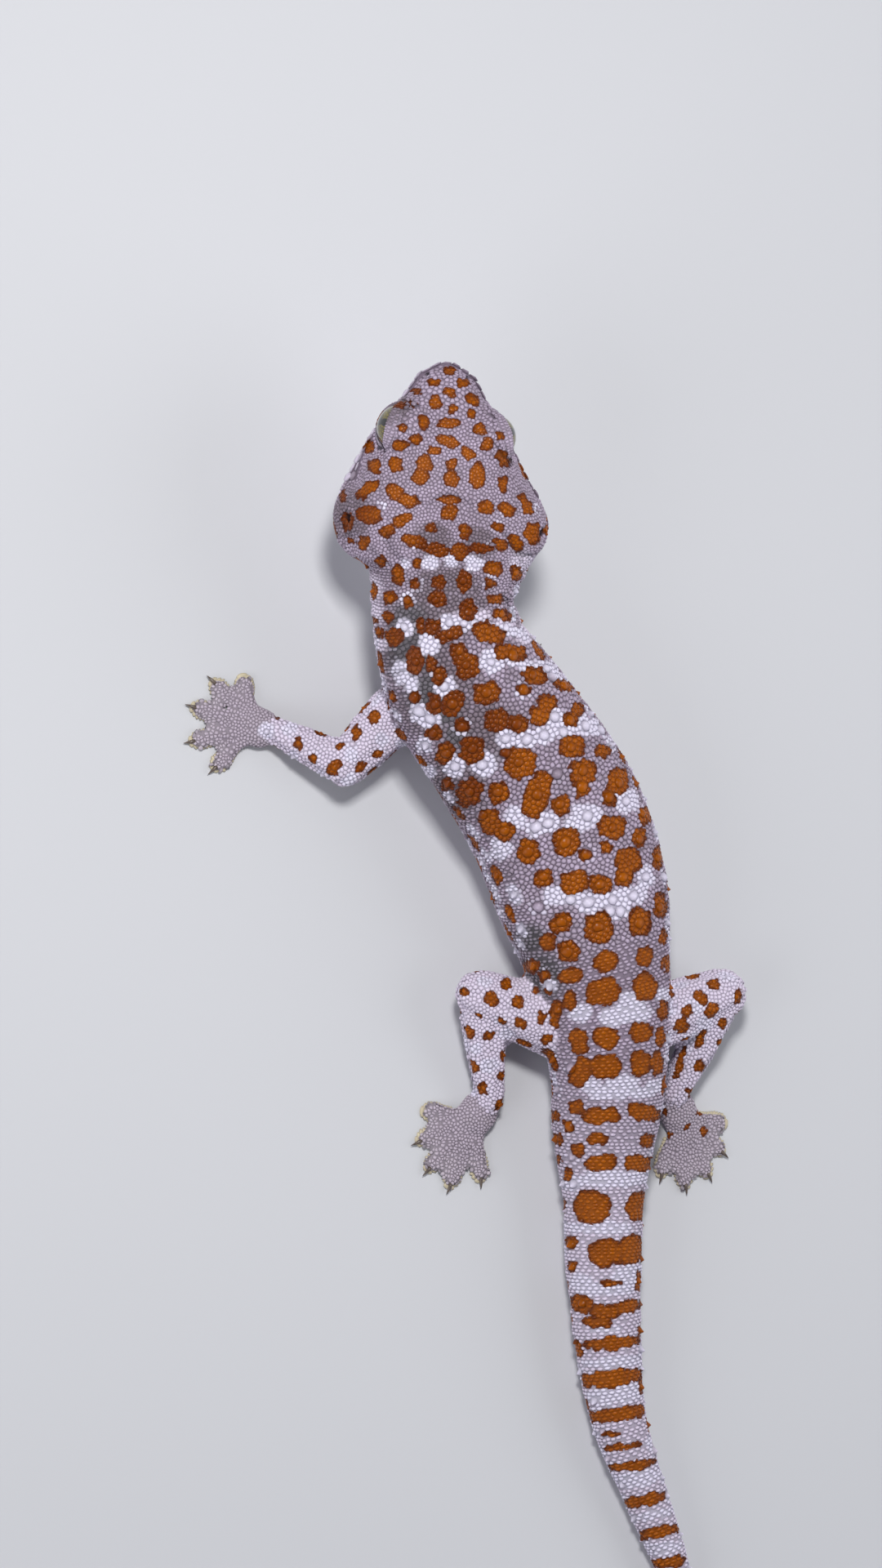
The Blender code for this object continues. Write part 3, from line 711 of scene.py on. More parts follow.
# %% Where a lid begins and ends
LID_OPEN_TOP = math.radians(21)
LID_OPEN_ENDS = math.radians(74)
LID_OPEN_LOW = math.radians(55)
LID_WIDTH_TOP = math.radians(34)
LID_WIDTH_ENDS = math.radians(15)
LID_WIDTH_LOW = math.radians(20)
LID_PROFILE = (  # share of the way from the lid's edge to its end, and height over the ball, mm
    (0.60, 0.04), (0.30, 0.05), (0.06, 0.08), (0.0, 0.20), (0.012, 0.36), (0.06, 0.46), (0.18, 0.54),
    (0.35, 0.60), (0.55, 0.62), (0.72, 0.60), (0.86, 0.50), (0.95, 0.30), (1.0, 0.05),
)
LID_RIM = 3  # the profile's first outer place


def round_an_eye(points, eye):
    """Distance from the eye's middle, slope from its axis and turn round it, from its top."""
    centre, outward, along, up = (np.array(part) for part in eye)
    offset = points - centre
    away = np.linalg.norm(offset, axis=1)
    slope = np.arccos(np.clip(offset @ outward / np.maximum(away, 1e-9), -1, 1))
    return away, slope, np.arctan2(offset @ along, offset @ up)


def lid_slopes(turn):
    """The slopes from the eye's axis at which its lid begins and ends, at a turn from its top."""
    top = np.clip(np.cos(turn), 0, 1) ** 0.45
    low = np.clip(-np.cos(turn), 0, 1)
    begin = LID_OPEN_ENDS + (LID_OPEN_TOP - LID_OPEN_ENDS) * top + (LID_OPEN_LOW - LID_OPEN_ENDS) * low
    width = LID_WIDTH_ENDS + (LID_WIDTH_TOP - LID_WIDTH_ENDS) * top + (LID_WIDTH_LOW - LID_WIDTH_ENDS) * low
    return begin, begin + width


def lid_place(eye, turn, share, height):
    """A place on a lid by its turn from the top, its share of the width and its height."""
    centre, outward, along, up = eye
    begin, end = lid_slopes(turn)
    slope = begin + (end - begin) * share
    aside = up * math.cos(turn) + along * math.sin(turn)
    return centre + (outward * math.cos(slope) + aside * math.sin(slope)) * (EYE_RADIUS + height)


def under_a_lid(points):
    """1 in an eye's opening and under its lid, fading to 0 at the lid's end, for each eye."""
    shares = []
    for eye in eyes:
        away, slope, turn = round_an_eye(points, eye)
        end = lid_slopes(turn)[1]
        near = away < EYE_RADIUS + 3.0 * MM
        shares.append((1 - fade(slope, end - math.radians(11), end - math.radians(1))) * near)
    return shares


def in_an_opening(points):
    """True for skin that was pressed in behind an eye's opening or its lid."""
    behind = np.zeros(len(points), bool)
    for eye, share in zip(eyes, under_a_lid(points)):
        behind |= (share > 0.35) & (round_an_eye(points, eye)[0] < EYE_RADIUS + 0.3 * MM)
    return behind


# %% Where the nostrils and the ears are
def head_surface(tree, station, side, elevation):
    """Where a ray from the middle of the head, at an angle over its side, leaves the surface."""
    way = head_side * side * math.cos(elevation) + head_up * math.sin(elevation)
    return tree.ray_cast(head_middle(station), way)[0]


def nostrils_and_ears(tree):
    found_nostrils = [head_surface(tree, NOSTRIL_STATION, side, NOSTRIL_ELEVATION) for side in (-1, 1)]
    return found_nostrils, [head_surface(tree, EAR_STATION, side, EAR_ELEVATION) for side in (-1, 1)]


def away_from_hole(points, place):
    """Distance from the middle of an upright oval hole, counted as if it were round."""
    offset = points - np.array(place)
    return np.hypot(np.linalg.norm(offset, axis=1), 0.9 * offset[:, 1])


# %% Sculpt the skin
MOUTH_DIP = ((0, 0.0), (3, 0.0), (10.5, -0.4), (18.5, -0.5), (22.5, -0.1), (25.8, 0.6))  # mm
MOUTH_GROOVE = 0.55 * MM
MOUTH_HALF_WIDTH = 0.42 * MM
LIP_SWELL = 0.22 * MM
NAPE_FOLDS_Y = 101.5 * MM
NAPE_FOLD_REACH = 8.0 * MM
NAPE_FOLD_DEPTH = 0.42 * MM
NAPE_FOLD_SPACING = 3.7 * MM
LIMB_FOLD_DEPTH = 0.26 * MM
HOLE_DEPTHS = (0.6 * MM, 1.4 * MM)  # nostrils and ears
HOLE_REACHES = (0.8 * MM, 2.1 * MM)
SNOUT_SHORTER = 0.3 * MM
SNOUT_NARROWER = (0.10, 0.03)  # left and right
JAW_PUSHES = ((652, 662, 3.6, 2.0), (424, 668, 3.4, -1.9), (433, 583, 4.0, -1.4))  # picture, mm


def over_mouth_line(points):
    """Height over the line of the mouth, and 1 where the mouth is, fading at its corner."""
    station, across, above = head_place(points)
    knots, dips = np.array(MOUTH_DIP).T * MM
    there = 1 - fade(station, MOUTH_CORNER, MOUTH_CORNER + 1.5 * MM)
    return above - np.interp(station, knots, dips), there


def sculpt_skin(mesh):
    points, normals = read_points(mesh), read_points(mesh, "vector")
    on_head = is_part(skin_parts, ("head", "lower_jaw"))
    over, mouth = over_mouth_line(points)
    mouth = mouth * on_head
    move = -MOUTH_GROOVE * hill(over, 0, MOUTH_HALF_WIDTH) * mouth
    move += LIP_SWELL * hill(np.abs(over), 1.2 * MM, 0.7 * MM) * mouth
    wander = ripple(points, 14 * MM, 3)
    phase = (points[:, 1] + 1.1 * MM * wander) * 2 * math.pi / NAPE_FOLD_SPACING
    nape = np.exp(-(((points[:, 1] - NAPE_FOLDS_Y) / NAPE_FOLD_REACH) ** 4))
    move += NAPE_FOLD_DEPTH * (np.abs(np.sin(phase / 2)) - 0.6) * nape * is_part(skin_parts, AXIAL_NODES)
    for leg in LEGS:
        for name, ends in zip(leg.nodes, ((leg.root, leg.bend), (leg.bend, leg.ankle))):
            own = skin_parts == NODE_NUMBER[name]
            start, end = (Vector(place) * MM for place in ends)
            way = (end - start).normalized()
            side = way.cross(UP).normalized()
            offset = points[own] - np.array(start)
            turn = np.arctan2(offset @ np.array(side), offset @ np.array(side.cross(way)))
            folds = np.sin(turn * 7 + 1.3 * ripple(points[own], 9 * MM, 5))
            move[own] += LIMB_FOLD_DEPTH * folds
    move -= creases_at(points)[0]
    for places, depth, reach in zip(nostrils_and_ears(bare_tree), HOLE_DEPTHS, HOLE_REACHES):
        for place in places:
            move -= depth * (1 - fade(away_from_hole(points, place), reach * 0.35, reach))
    for across_picture, down_picture, reach, push in JAW_PUSHES:
        (middle,) = line_from_picture(bare_tree, [(across_picture, down_picture)])
        away = np.linalg.norm(points - middle, axis=1)
        move += push * MM * hill(away, 0, reach * MM)
    points = points + normals * move[:, None]
    station, across, _ = head_place(points)
    front = (1 - fade(station, 9.5 * MM, 14.5 * MM)) * on_head
    narrower = np.where(across < 0, *SNOUT_NARROWER)
    points -= np.outer(across * narrower * front, head_side)
    points[:, 1] -= SNOUT_SHORTER * (1 - fade(station, 0, 12 * MM)) * on_head
    for eye, share in zip(eyes, under_a_lid(points)):
        away = round_an_eye(points, eye)[0]
        pressed = np.minimum(away, EYE_RADIUS - 0.4 * MM)
        shrink = 1 + (pressed / np.maximum(away, 1e-9) - 1) * share
        points = np.array(eye[0]) + (points - np.array(eye[0])) * shrink[:, None]
    points[:, 2] = np.maximum(points[:, 2], 0.02 * MM)
    write_points(mesh, points)
    return points


skin_points = sculpt_skin(skin_mesh)
skin_normals = read_points(skin_mesh, "vector")
skin_tree = tree_of(skin_mesh)
print("skin sculpted")

# %% [markdown]
# ## Finding places on the head
#
# A nostril or a lip plate has to sit on the skin, seen from any side. Rays from the middle of the
# head outwards find the surface at a chosen distance from the snout and a chosen slope.

# %% Rays from the middle of the head
nostrils, ears = nostrils_and_ears(skin_tree)
print("nostrils at", [[round(v / MM, 1) for v in place] for place in nostrils])

# %% [markdown]
# ## The spots
#
# Orange-brown spots and white patches on lavender grey are this animal's coat of arms. Those that
# the picture shows are listed one by one, each with the middle, the width and the height that it
# has in the picture, in pixels, and a turn in degrees, positive down to the right. Each is set on
# the skin where its ray lands, so it belongs to the surface and not to the camera.

# %% Spots of the head, read in the picture
HEAD_SPOTS = (
    (550, 455, 14, 12), (531, 468, 16, 9), (567, 469, 15, 10), (551, 481, 15, 10), (511, 479, 11, 9),
    (533, 492, 15, 20), (578, 490, 18, 12, 25), (554, 501, 13, 12), (576, 507, 11, 12),
    (519, 517, 14, 17, -15), (549, 518, 28, 12), (587, 525, 15, 14), (493, 524, 10, 10),
    (612, 533, 9, 12), (549, 540, 31, 12, 14), (508, 538, 16, 12, -20), (490, 545, 18, 13, -12),
    (597, 543, 15, 17, 20), (531, 552, 18, 8), (573, 555, 19, 12, 18), (615, 561, 14, 22, -25),
    (459, 570, 16, 18), (485, 569, 17, 18), (519, 568, 20, 20, -20), (515, 584, 18, 19),
    (553, 569, 15, 14), (552, 586, 18, 19), (585, 583, 19, 31, 8), (616, 593, 12, 21),
    (450, 600, 31, 15, -30), (420, 608, 9, 16), (484, 602, 20, 17, 20), (500, 613, 26, 15, 15),
    (549, 612, 28, 10), (550, 627, 20, 19), (594, 621, 20, 17), (620, 624, 22, 14, 25),
    (644, 618, 12, 30, -32), (452, 630, 29, 22), (426, 640, 14, 22), (493, 636, 26, 15, -25),
    (474, 650, 20, 16, -30), (528, 646, 15, 13), (569, 651, 15, 17), (610, 645, 17, 12, 25),
    (652, 653, 19, 24), (507, 662, 30, 15, 18), (534, 673, 32, 15, 14), (564, 675, 21, 19),
    (588, 671, 27, 12), (612, 667, 17, 15), (632, 665, 14, 23, -32), (511, 690, 12, 13),
    (604, 696, 22, 16), (632, 702, 15, 17), (467, 687, 14, 12), (445, 665, 14, 16), (430, 663, 9, 7),
    (487, 704, 16, 22), (509, 715, 13, 15), (536, 713, 18, 18), (568, 712, 18, 27), (600, 714, 14, 10),
    (452, 548, 12, 16), (640, 574, 10, 18),
)
print(len(HEAD_SPOTS), "spots on the head")

# %% Spots of the neck and the back
BACK_SPOTS = (
    (477, 732, 14, 17), (500, 737, 13, 14), (535, 734, 22, 20), (605, 734, 22, 12), (453, 746, 9, 13),
    (459, 759, 9, 9), (475, 756, 11, 15), (465, 775, 12, 11), (483, 780, 22, 22), (515, 767, 12, 20),
    (531, 767, 18, 20), (551, 777, 32, 17, -28), (598, 775, 40, 22, 18), (572, 747, 20, 24),
    (614, 753, 22, 12, 15), (561, 796, 21, 18, -30), (572, 815, 29, 32), (625, 799, 40, 20, 8),
    (508, 808, 20, 34), (528, 812, 14, 18), (538, 828, 17, 22, 20), (654, 828, 29, 20, 10),
    (640, 845, 20, 12), (690, 839, 26, 12, 15), (595, 849, 32, 26, -12), (555, 861, 23, 32, 22),
    (532, 862, 18, 24), (508, 854, 14, 16), (670, 861, 26, 20), (661, 876, 26, 23),
    (608, 882, 30, 26), (633, 886, 26, 20, 15), (566, 888, 19, 17), (707, 869, 16, 16),
    (698, 881, 20, 18), (532, 898, 20, 18, -25), (510, 930, 14, 18), (700, 914, 32, 26),
    (737, 920, 20, 17), (578, 918, 29, 32), (545, 922, 20, 29, 20), (620, 922, 16, 10),
    (637, 934, 38, 36), (714, 945, 32, 30), (712, 965, 18, 22), (757, 957, 26, 32),
    (611, 970, 23, 26), (575, 970, 29, 34, 20), (658, 973, 29, 57, 20), (687, 986, 22, 23),
    (746, 976, 17, 23), (548, 961, 16, 16), (600, 1005, 26, 30, -20), (618, 1018, 26, 24, 25),
    (749, 1013, 32, 29), (790, 998, 16, 22), (783, 1026, 17, 23), (694, 1031, 32, 34),
    (717, 1047, 16, 14), (647, 1043, 26, 32), (769, 1054, 32, 30), (764, 1074, 22, 24),
    (742, 1037, 16, 14), (665, 1075, 22, 23), (703, 1080, 34, 28, -15), (735, 1083, 28, 22, 22),
    (805, 1050, 14, 28), (687, 1130, 30, 22, -32), (670, 1154, 20, 22, -25), (733, 1136, 33, 38),
    (783, 1129, 26, 34), (808, 1109, 16, 30), (696, 1165, 25, 25), (742, 1177, 30, 26),
    (789, 1171, 22, 25), (811, 1147, 10, 20), (652, 1183, 16, 18, -30), (667, 1195, 15, 14, -15),
    (698, 1195, 30, 19, -10), (738, 1214, 41, 32, -18), (790, 1208, 29, 34), (816, 1180, 12, 20),
    (671, 1214, 12, 10), (655, 1214, 10, 10), (697, 1225, 16, 25), (682, 1234, 13, 18, 30),
)
print(len(BACK_SPOTS), "spots on the back")

# %% Spots of the loin, the tail and the right hind leg
LOIN_SPOTS = (
    (679, 1247, 13, 24, -15), (662, 1246, 9, 18), (811, 1236, 14, 25), (709, 1275, 22, 33, -12),
    (742, 1271, 30, 26), (785, 1264, 26, 26), (808, 1269, 12, 22), (711, 1313, 24, 38, 22),
    (742, 1306, 38, 30), (784, 1302, 24, 30), (804, 1302, 16, 30), (706, 1356, 19, 18),
    (736, 1366, 46, 20, -4), (788, 1362, 42, 20, 16), (679, 1367, 16, 14), (696, 1379, 12, 16),
    (681, 1395, 19, 16, -12), (731, 1394, 25, 15), (792, 1398, 16, 18), (707, 1408, 17, 17),
    (735, 1424, 41, 20, -8), (781, 1424, 36, 20, 8), (696, 1439, 10, 19), (684, 1420, 8, 12),
)
TAIL_SPOTS = (
    (725, 1478, 42, 38), (781, 1477, 28, 34), (700, 1521, 14, 16), (742, 1534, 40, 34),
    (772, 1530, 30, 34), (701, 1551, 10, 14), (748, 1571, 24, 8), (712, 1596, 26, 22, 12),
    (740, 1606, 34, 18, 8), (768, 1600, 30, 18, -8), (730, 1619, 36, 14), (749, 1645, 66, 17, -4),
    (747, 1688, 82, 21, -7), (757, 1732, 74, 17, -7), (748, 1756, 20, 8), (762, 1772, 46, 9, -6),
    (774, 1795, 56, 13, -8), (789, 1837, 52, 15, -12), (808, 1876, 48, 15, -10), (818, 1913, 40, 13, -8),
)
LEG_SPOTS = (
    (857, 1221, 20, 13, 35), (873, 1206, 15, 12), (871, 1237, 15, 20, 30), (840, 1239, 14, 16),
    (834, 1256, 16, 20, -10), (833, 1300, 9, 40, 14), (857, 1272, 11, 22, 20), (903, 1220, 9, 19, 12),
    (879, 1288, 12, 14), (856, 1305, 13, 15, -15), (884, 1252, 9, 14, 20), (866, 1330, 8, 6),
)
WHITE_PATCHES = (
    (526, 689, 18, 13), (553, 686, 15, 13), (580, 690, 19, 14), (549, 762, 26, 14), (497, 690, 8, 8),
    (580, 763, 30, 9, 8), (620, 771, 34, 11, 16), (495, 769, 16, 20), (525, 789, 20, 24),
    (492, 823, 20, 24), (545, 841, 22, 24), (601, 809, 24, 26), (637, 812, 26, 12, 12),
    (668, 820, 34, 13, 24), (526, 881, 24, 22), (512, 872, 16, 18), (504, 838, 14, 14),
    (620, 905, 20, 16), (644, 907, 22, 16), (668, 900, 22, 18), (592, 935, 26, 26),
    (556, 938, 22, 22), (520, 912, 16, 14), (523, 944, 18, 14), (680, 880, 22, 20),
    (716, 889, 34, 20, 18), (690, 895, 24, 12), (632, 1001, 24, 22), (671, 1006, 24, 22),
    (655, 1015, 20, 14), (718, 1000, 34, 26), (767, 981, 24, 26), (704, 1010, 24, 18),
    (614, 1039, 22, 22), (678, 1097, 22, 20), (720, 1106, 26, 22), (700, 1100, 26, 14),
    (750, 1102, 34, 20), (776, 1096, 26, 20), (790, 1074, 18, 24), (757, 1117, 30, 14),
    (711, 1240, 24, 20), (774, 1223, 28, 14), (757, 1243, 44, 22, -14), (780, 1240, 30, 20),
    (812, 1220, 12, 16), (724, 1330, 20, 16), (763, 1326, 34, 16), (804, 1330, 22, 14),
    (744, 1338, 40, 16), (778, 1338, 40, 12), (748, 1444, 70, 18), (785, 1442, 30, 14),
    (702, 1448, 20, 16), (673, 1206, 14, 10), (735, 1504, 70, 14), (742, 1578, 60, 16),
    (770, 1562, 40, 22), (712, 1570, 24, 18), (752, 1668, 70, 12, -4), (757, 1708, 74, 20, -7),
    (742, 1628, 30, 8), (780, 1812, 54, 18, -12), (800, 1855, 40, 10, -10), (812, 1896, 44, 14, -10),
    (893, 1270, 12, 34, 20), (880, 1302, 20, 14, -30), (866, 1316, 18, 12, -30), (848, 1232, 18, 16),
    (862, 1254, 16, 16), (845, 1275, 8, 30, 14),
)
print(len(LOIN_SPOTS) + len(TAIL_SPOTS) + len(LEG_SPOTS), "more spots,", len(WHITE_PATCHES), "patches")

# %% [markdown]
# ## From pixels to the skin
#
# A spot becomes a small ellipse laid on the skin. Near the outline the skin turns away from the
# camera, so the same pixels cover more of it. The turn is limited there, so that no spot smears
# round the flank.

# %% Lay each spot on the skin
SPOT_LEAST_FACING = 0.5
SPOT_DEPTH = 1.3
SPOT_GROWTH = 1.08


class Mark(NamedTuple):
    """An ellipse on the skin: its middle, its normal, and two rows that turn an offset from the
    middle into shares of its half sizes. The size is its mean half size."""

    place: np.ndarray
    normal: np.ndarray
    rows: np.ndarray
    size: float


def mark_from_picture(across, down, wide, tall, turn=0):
    """The mark that this spot of the picture makes on the skin, or None where its ray misses."""
    way = (picture_point(across, down) - camera_place).normalized()
    place, normal, _, _ = skin_tree.ray_cast(camera_place, way)
    if place is None:
        return None
    normal = Vector(skin_normals[near_corner(place)])
    facing = normal.dot(towards_camera)
    if facing < SPOT_LEAST_FACING:
        aside = (normal - towards_camera * facing).normalized()
        steep = math.sqrt(1 - SPOT_LEAST_FACING**2)
        normal = towards_camera * SPOT_LEAST_FACING + aside * steep
    tilt = math.radians(turn)
    long_way = image_right * math.cos(tilt) - image_up * math.sin(tilt)
    cross_way = image_right * math.sin(tilt) + image_up * math.cos(tilt)
    halves = (wide * PIXEL / 2 * SPOT_GROWTH, tall * PIXEL / 2 * SPOT_GROWTH)
    rows = np.array([np.array(axis) / half for axis, half in zip((long_way, cross_way), halves)])
    return Mark(np.array(place), np.array(normal), rows, math.sqrt(halves[0] * halves[1]))


corner_tree = KDTree(len(skin_points))
for corner, corner_place in enumerate(skin_points):
    corner_tree.insert(corner_place, corner)
corner_tree.balance()


def near_corner(point):
    return corner_tree.find(point)[1]


def marks_of(spots):
    return [mark for mark in (mark_from_picture(*spot) for spot in spots) if mark]


orange_marks = marks_of(HEAD_SPOTS + BACK_SPOTS + LOIN_SPOTS + TAIL_SPOTS + LEG_SPOTS)
white_marks = marks_of(WHITE_PATCHES)
print(len(orange_marks), "orange and", len(white_marks), "white marks landed on the skin")

# %% [markdown]
# ## Spots that the picture doesn't show
#
# The flanks, the other three legs, the underside and the rest of the tail need spots too. The
# species repeats itself: orange spots in cross rows about 7 mm apart on the body and smaller on
# the limbs, with white patches between them, few and small spots on the belly, and rings round
# the tail. They are drawn from a seeded list and kept clear of the spots that were read.

# %% Fill in the unseen spots
LEFT_LIMIT = ((440, 380), (700, 440), (800, 452), (850, 462), (900, 500), (960, 530), (1000, 560),
              (1060, 612), (1100, 636), (1180, 642), (1200, 622), (1260, 655), (1300, 690),
              (1360, 672), (1460, 688), (1920, 690))  # the picture's down and the least across seen
SEEN_NODES = AXIAL_NODES + LEGS[3].nodes[:2]
SEEN_LEAST_FACING = 0.42


def seen_in_picture(points, normals, parts):
    """True where the picture shows the skin well enough to read its spots."""
    across, down = picture_place(points)
    limit_down, limit_across = np.array(LEFT_LIMIT).T
    facing = normals @ np.array(towards_camera) > SEEN_LEAST_FACING
    inside = (across > np.interp(down, limit_down, limit_across)) & (down < PICTURE_HEIGHT)
    return facing & inside & is_part(parts, SEEN_NODES)


skin_seen = seen_in_picture(skin_points, skin_normals, skin_parts)
skin_lie = lay_into_surface(scale_lie(skin_points, skin_parts), skin_normals)


def mark_on_corner(corner, along, across):
    """A mark with its half sizes along the scales' lie and across it."""
    normal, lie = skin_normals[corner], skin_lie[corner]
    side = np.cross(normal, lie)
    rows = np.array([lie / along, side / across])
    return Mark(skin_points[corner], normal, rows, math.sqrt(along * across))


def fill_marks(corners, gap, sizes, kept_clear, seed):
    """Marks spread over the corners, at least a gap apart from each other and from the kept ones."""
    draw = random.Random(seed)
    order = list(corners)
    draw.shuffle(order)
    places = np.array([mark.place for mark in kept_clear]).reshape(-1, 3)
    reach = np.array([mark.size for mark in kept_clear])
    made = []
    for corner in order:
        size = draw.uniform(*sizes)
        point = skin_points[corner]
        if len(places) and (np.linalg.norm(places - point, axis=1) < reach + size + gap).any():
            continue
        stretch = draw.uniform(0.85, 1.25)
        mark = mark_on_corner(corner, size * stretch, size / stretch)
        made.append(mark)
        places = np.vstack([places, mark.place])
        reach = np.append(reach, mark.size)
    return made


def unseen_groups():
    """(corners, gap, least and greatest half size) for each kind of unseen skin."""
    under = skin_normals[:, 2] < -0.35
    over, mouth = over_mouth_line(skin_points)
    lips = (np.abs(over) < 2.4 * MM) & (mouth > 0) & is_part(skin_parts, ("head", "lower_jaw"))
    tail = is_part(skin_parts, AXIAL_NODES[6:]) & (skin_points[:, 1] > -62 * MM)
    trunk = is_part(skin_parts, AXIAL_NODES[:6]) & ~lips
    limb = is_part(skin_parts, [name for leg in LEGS for name in leg.nodes[:2]])
    foot = is_part(skin_parts, FEET)
    toe_end = np.zeros(len(skin_points), bool)
    for toe in TOES:
        offset = skin_points - np.array(toe.start)
        toe_end |= (offset @ np.array(toe.out) > toe.length * 0.5) & foot
    free = ~skin_seen
    return (
        (trunk & free & ~under, 2.3 * MM, (1.5 * MM, 2.3 * MM)),
        (tail & free & ~under, 2.2 * MM, (1.4 * MM, 2.1 * MM)),
        (limb & free & ~under, 1.8 * MM, (0.9 * MM, 1.6 * MM)),
        (trunk & free & under, 5.0 * MM, (0.6 * MM, 1.1 * MM)),
        (limb & free & under, 3.5 * MM, (0.6 * MM, 0.9 * MM)),
        (foot & ~under & ~toe_end, 2.2 * MM, (0.6 * MM, 1.0 * MM)),
    )


for seed, (where, gap, sizes) in enumerate(unseen_groups()):
    orange_marks += fill_marks(np.flatnonzero(where), gap, sizes, orange_marks, seed)
whitable = is_part(skin_parts, AXIAL_NODES[2:9] + tuple(n for leg in LEGS for n in leg.nodes[:2]))
whitable &= ~skin_seen & (skin_normals[:, 2] > -0.2)
white_marks += fill_marks(
    np.flatnonzero(whitable), 0.9 * MM, (1.1 * MM, 1.6 * MM), orange_marks + white_marks, 11
)
print("in all:", len(orange_marks), "orange marks and", len(white_marks), "white ones")

# %% [markdown]
# ## Reading the markings at a place
#
# Skin and scales ask the same question: how orange, how white, how pale is this place? The answer
# comes from the marks, whose edges wander a little, and from the rings of the tail. A few listed
# patches of the picture also get painted shade. The result is stored on the meshes as plain numbers,
# and one shader turns them into colour.

# %% How orange, white and pale each place is
EDGE_SOFTNESS = 0.20 * MM
EDGE_WANDER = 0.38 * MM
SQUARENESS = 2.5
MARK_REACH = 3.4
SPOT_RIM = 0.75 * MM
TAIL_ORANGE_RINGS = (-94.6, -102.4, -110.0, -117.4, -124.6, -131.6, -138.2, -144.4)
TAIL_WHITE_RINGS = (-98.6, -106.3, -113.8, -121.1, -128.2, -135.0, -141.4, -147.6)
RING_HALF_WIDTH = 1.7 * MM
REAR_PALE = 0.85
LEG_PALE = 1.0
PALE_FOLDS = ((450, 722, 26), (453, 752, 24), (461, 784, 22), (640, 690, 22), (560, 758, 12),
              (590, 756, 14), (618, 764, 16), (642, 778, 16))  # picture place and reach, pixels
# Patches of the picture, mostly on the left of the head, neck and back, whose colour is darkened as painted
# shade.
PAINTED_SHADE_PATCHES = ((550, 735, 70), (515, 795, 75), (540, 850, 75), (585, 900, 70), (560, 960, 60),
              (430, 630, 40), (480, 500, 30), (530, 662, 34), (585, 668, 30))


def inside_marks(points, normals, marks):
    """How far inside the nearest mark's edge each point is, in metres, negative outside."""
    wander = np.stack([ripple(points, 2.6 * MM, seed) for seed in (21, 22, 23)], -1) * EDGE_WANDER
    moved = points + wander
    order = np.argsort(moved[:, 1])
    sorted_y = moved[order, 1]
    inside = np.full(len(points), -1.0)
    for mark in marks:
        reach = mark.size * MARK_REACH
        first, last = np.searchsorted(sorted_y, (mark.place[1] - reach, mark.place[1] + reach))
        near = order[first:last]
        offset = moved[near] - mark.place
        close = np.sum(offset**2, axis=1) < reach**2
        near, offset = near[close], offset[close]
        shares = offset @ mark.rows.T
        depth = np.abs(offset @ mark.normal) < mark.size * SPOT_DEPTH + 0.6 * MM
        same_side = normals[near] @ mark.normal > 0.1
        reach = (1 - np.sum(np.abs(shares) ** SQUARENESS, axis=1) ** (1 / SQUARENESS)) * mark.size
        inside[near] = np.maximum(inside[near], np.where(depth & same_side, reach, -1.0))
    return inside


def inside_rings(points, parts, rings):
    on_tail = is_part(parts, AXIAL_NODES[8:])
    away = np.full(len(points), 1.0)
    moved = points[:, 1] + 0.7 * MM * ripple(points, 5 * MM, 31)
    for ring in rings:
        away = np.minimum(away, np.abs(moved - ring * MM))
    return np.where(on_tail, RING_HALF_WIDTH - away, -1.0)


def picture_regions(points, regions):
    """1 in the middle of each round region of the picture, fading to 0 at its reach."""
    across, down = picture_place(points)
    share = np.zeros(len(points))
    for middle_across, middle_down, reach in regions:
        away = np.hypot(across - middle_across, down - middle_down)
        share = np.maximum(share, 1 - fade(away, reach * 0.4, reach))
    return share


def markings_at(points, normals, parts):
    """A dictionary of numbers from 0 to 1 for each kind of marking, and one for the patches of painted shade.
    """
    orange = np.maximum(
        inside_marks(points, normals, orange_marks), inside_rings(points, parts, TAIL_ORANGE_RINGS)
    )
    white = np.maximum(
        inside_marks(points, normals, white_marks), inside_rings(points, parts, TAIL_WHITE_RINGS)
    )
    under = fade(-normals[:, 2] + 0.12 * ripple(points, 6 * MM, 33), 0.05, 0.55)
    throat = is_part(parts, ("lower_jaw",)) * fade(-normals[:, 2], -0.5, 0.1)
    station, across, above = head_place(points)
    neck_side = is_part(parts, ("neck", "lower_jaw")) * fade(-above, 1.0 * MM, 6.0 * MM)
    rear = REAR_PALE * fade(-points[:, 1], -25 * MM, 30 * MM) * is_part(parts, AXIAL_NODES[3:])
    legs = LEG_PALE * is_part(parts, [name for leg in LEGS for name in leg.nodes[:2]])
    folds = picture_regions(points, PALE_FOLDS) * is_part(parts, AXIAL_NODES[:4])
    foot = is_part(parts, FEET)
    return {
        "orange": fade(orange, -EDGE_SOFTNESS, EDGE_SOFTNESS),
        "deep": fade(orange, 0, SPOT_RIM),
        "white": fade(white, -3 * EDGE_SOFTNESS, EDGE_SOFTNESS),
        "pale": np.clip(np.maximum.reduce([under, throat, neck_side, rear, legs, folds]), 0, 1),
        # painted shade in the listed patches of the picture
        "shade_patch": picture_regions(points, PAINTED_SHADE_PATCHES) * (normals @ np.array(towards_camera) > -0.2),
        "toe": foot * (0.55 + 0.45 * fade(-points[:, 2], -1.6 * MM, -0.6 * MM)),
    }


skin_markings = markings_at(skin_points, skin_normals, skin_parts)
print("orange share of the skin:", round(float(skin_markings["orange"].mean()), 3))

# %% [markdown]
# ## Where the scales grow
#
# Scales are close-packed, like pebbles: each pushes its neighbours away until the gaps are even.
# Thousands of random places on the skin are thinned until none stands too close to another, and
# then they are pushed apart for a few rounds. Big scales, such as lip plates and the tubercles in
# the middle of the spots, are set first and don't move, so the small ones ring them as rosettes.

# %% The size of a scale at each place
SNOUT_SCALE = 0.44 * MM
CROWN_SCALE = 0.35 * MM
THROAT_SCALE = 0.38 * MM
BACK_SCALE = 0.51 * MM
BELLY_SCALE = 0.74 * MM
LIMB_SCALE = 0.40 * MM
FOOT_SCALE = 0.33 * MM
TAIL_SCALE = 0.52 * MM
TAIL_UNDER_SCALE = 0.74 * MM
TAIL_TIP_SHARE = 0.55


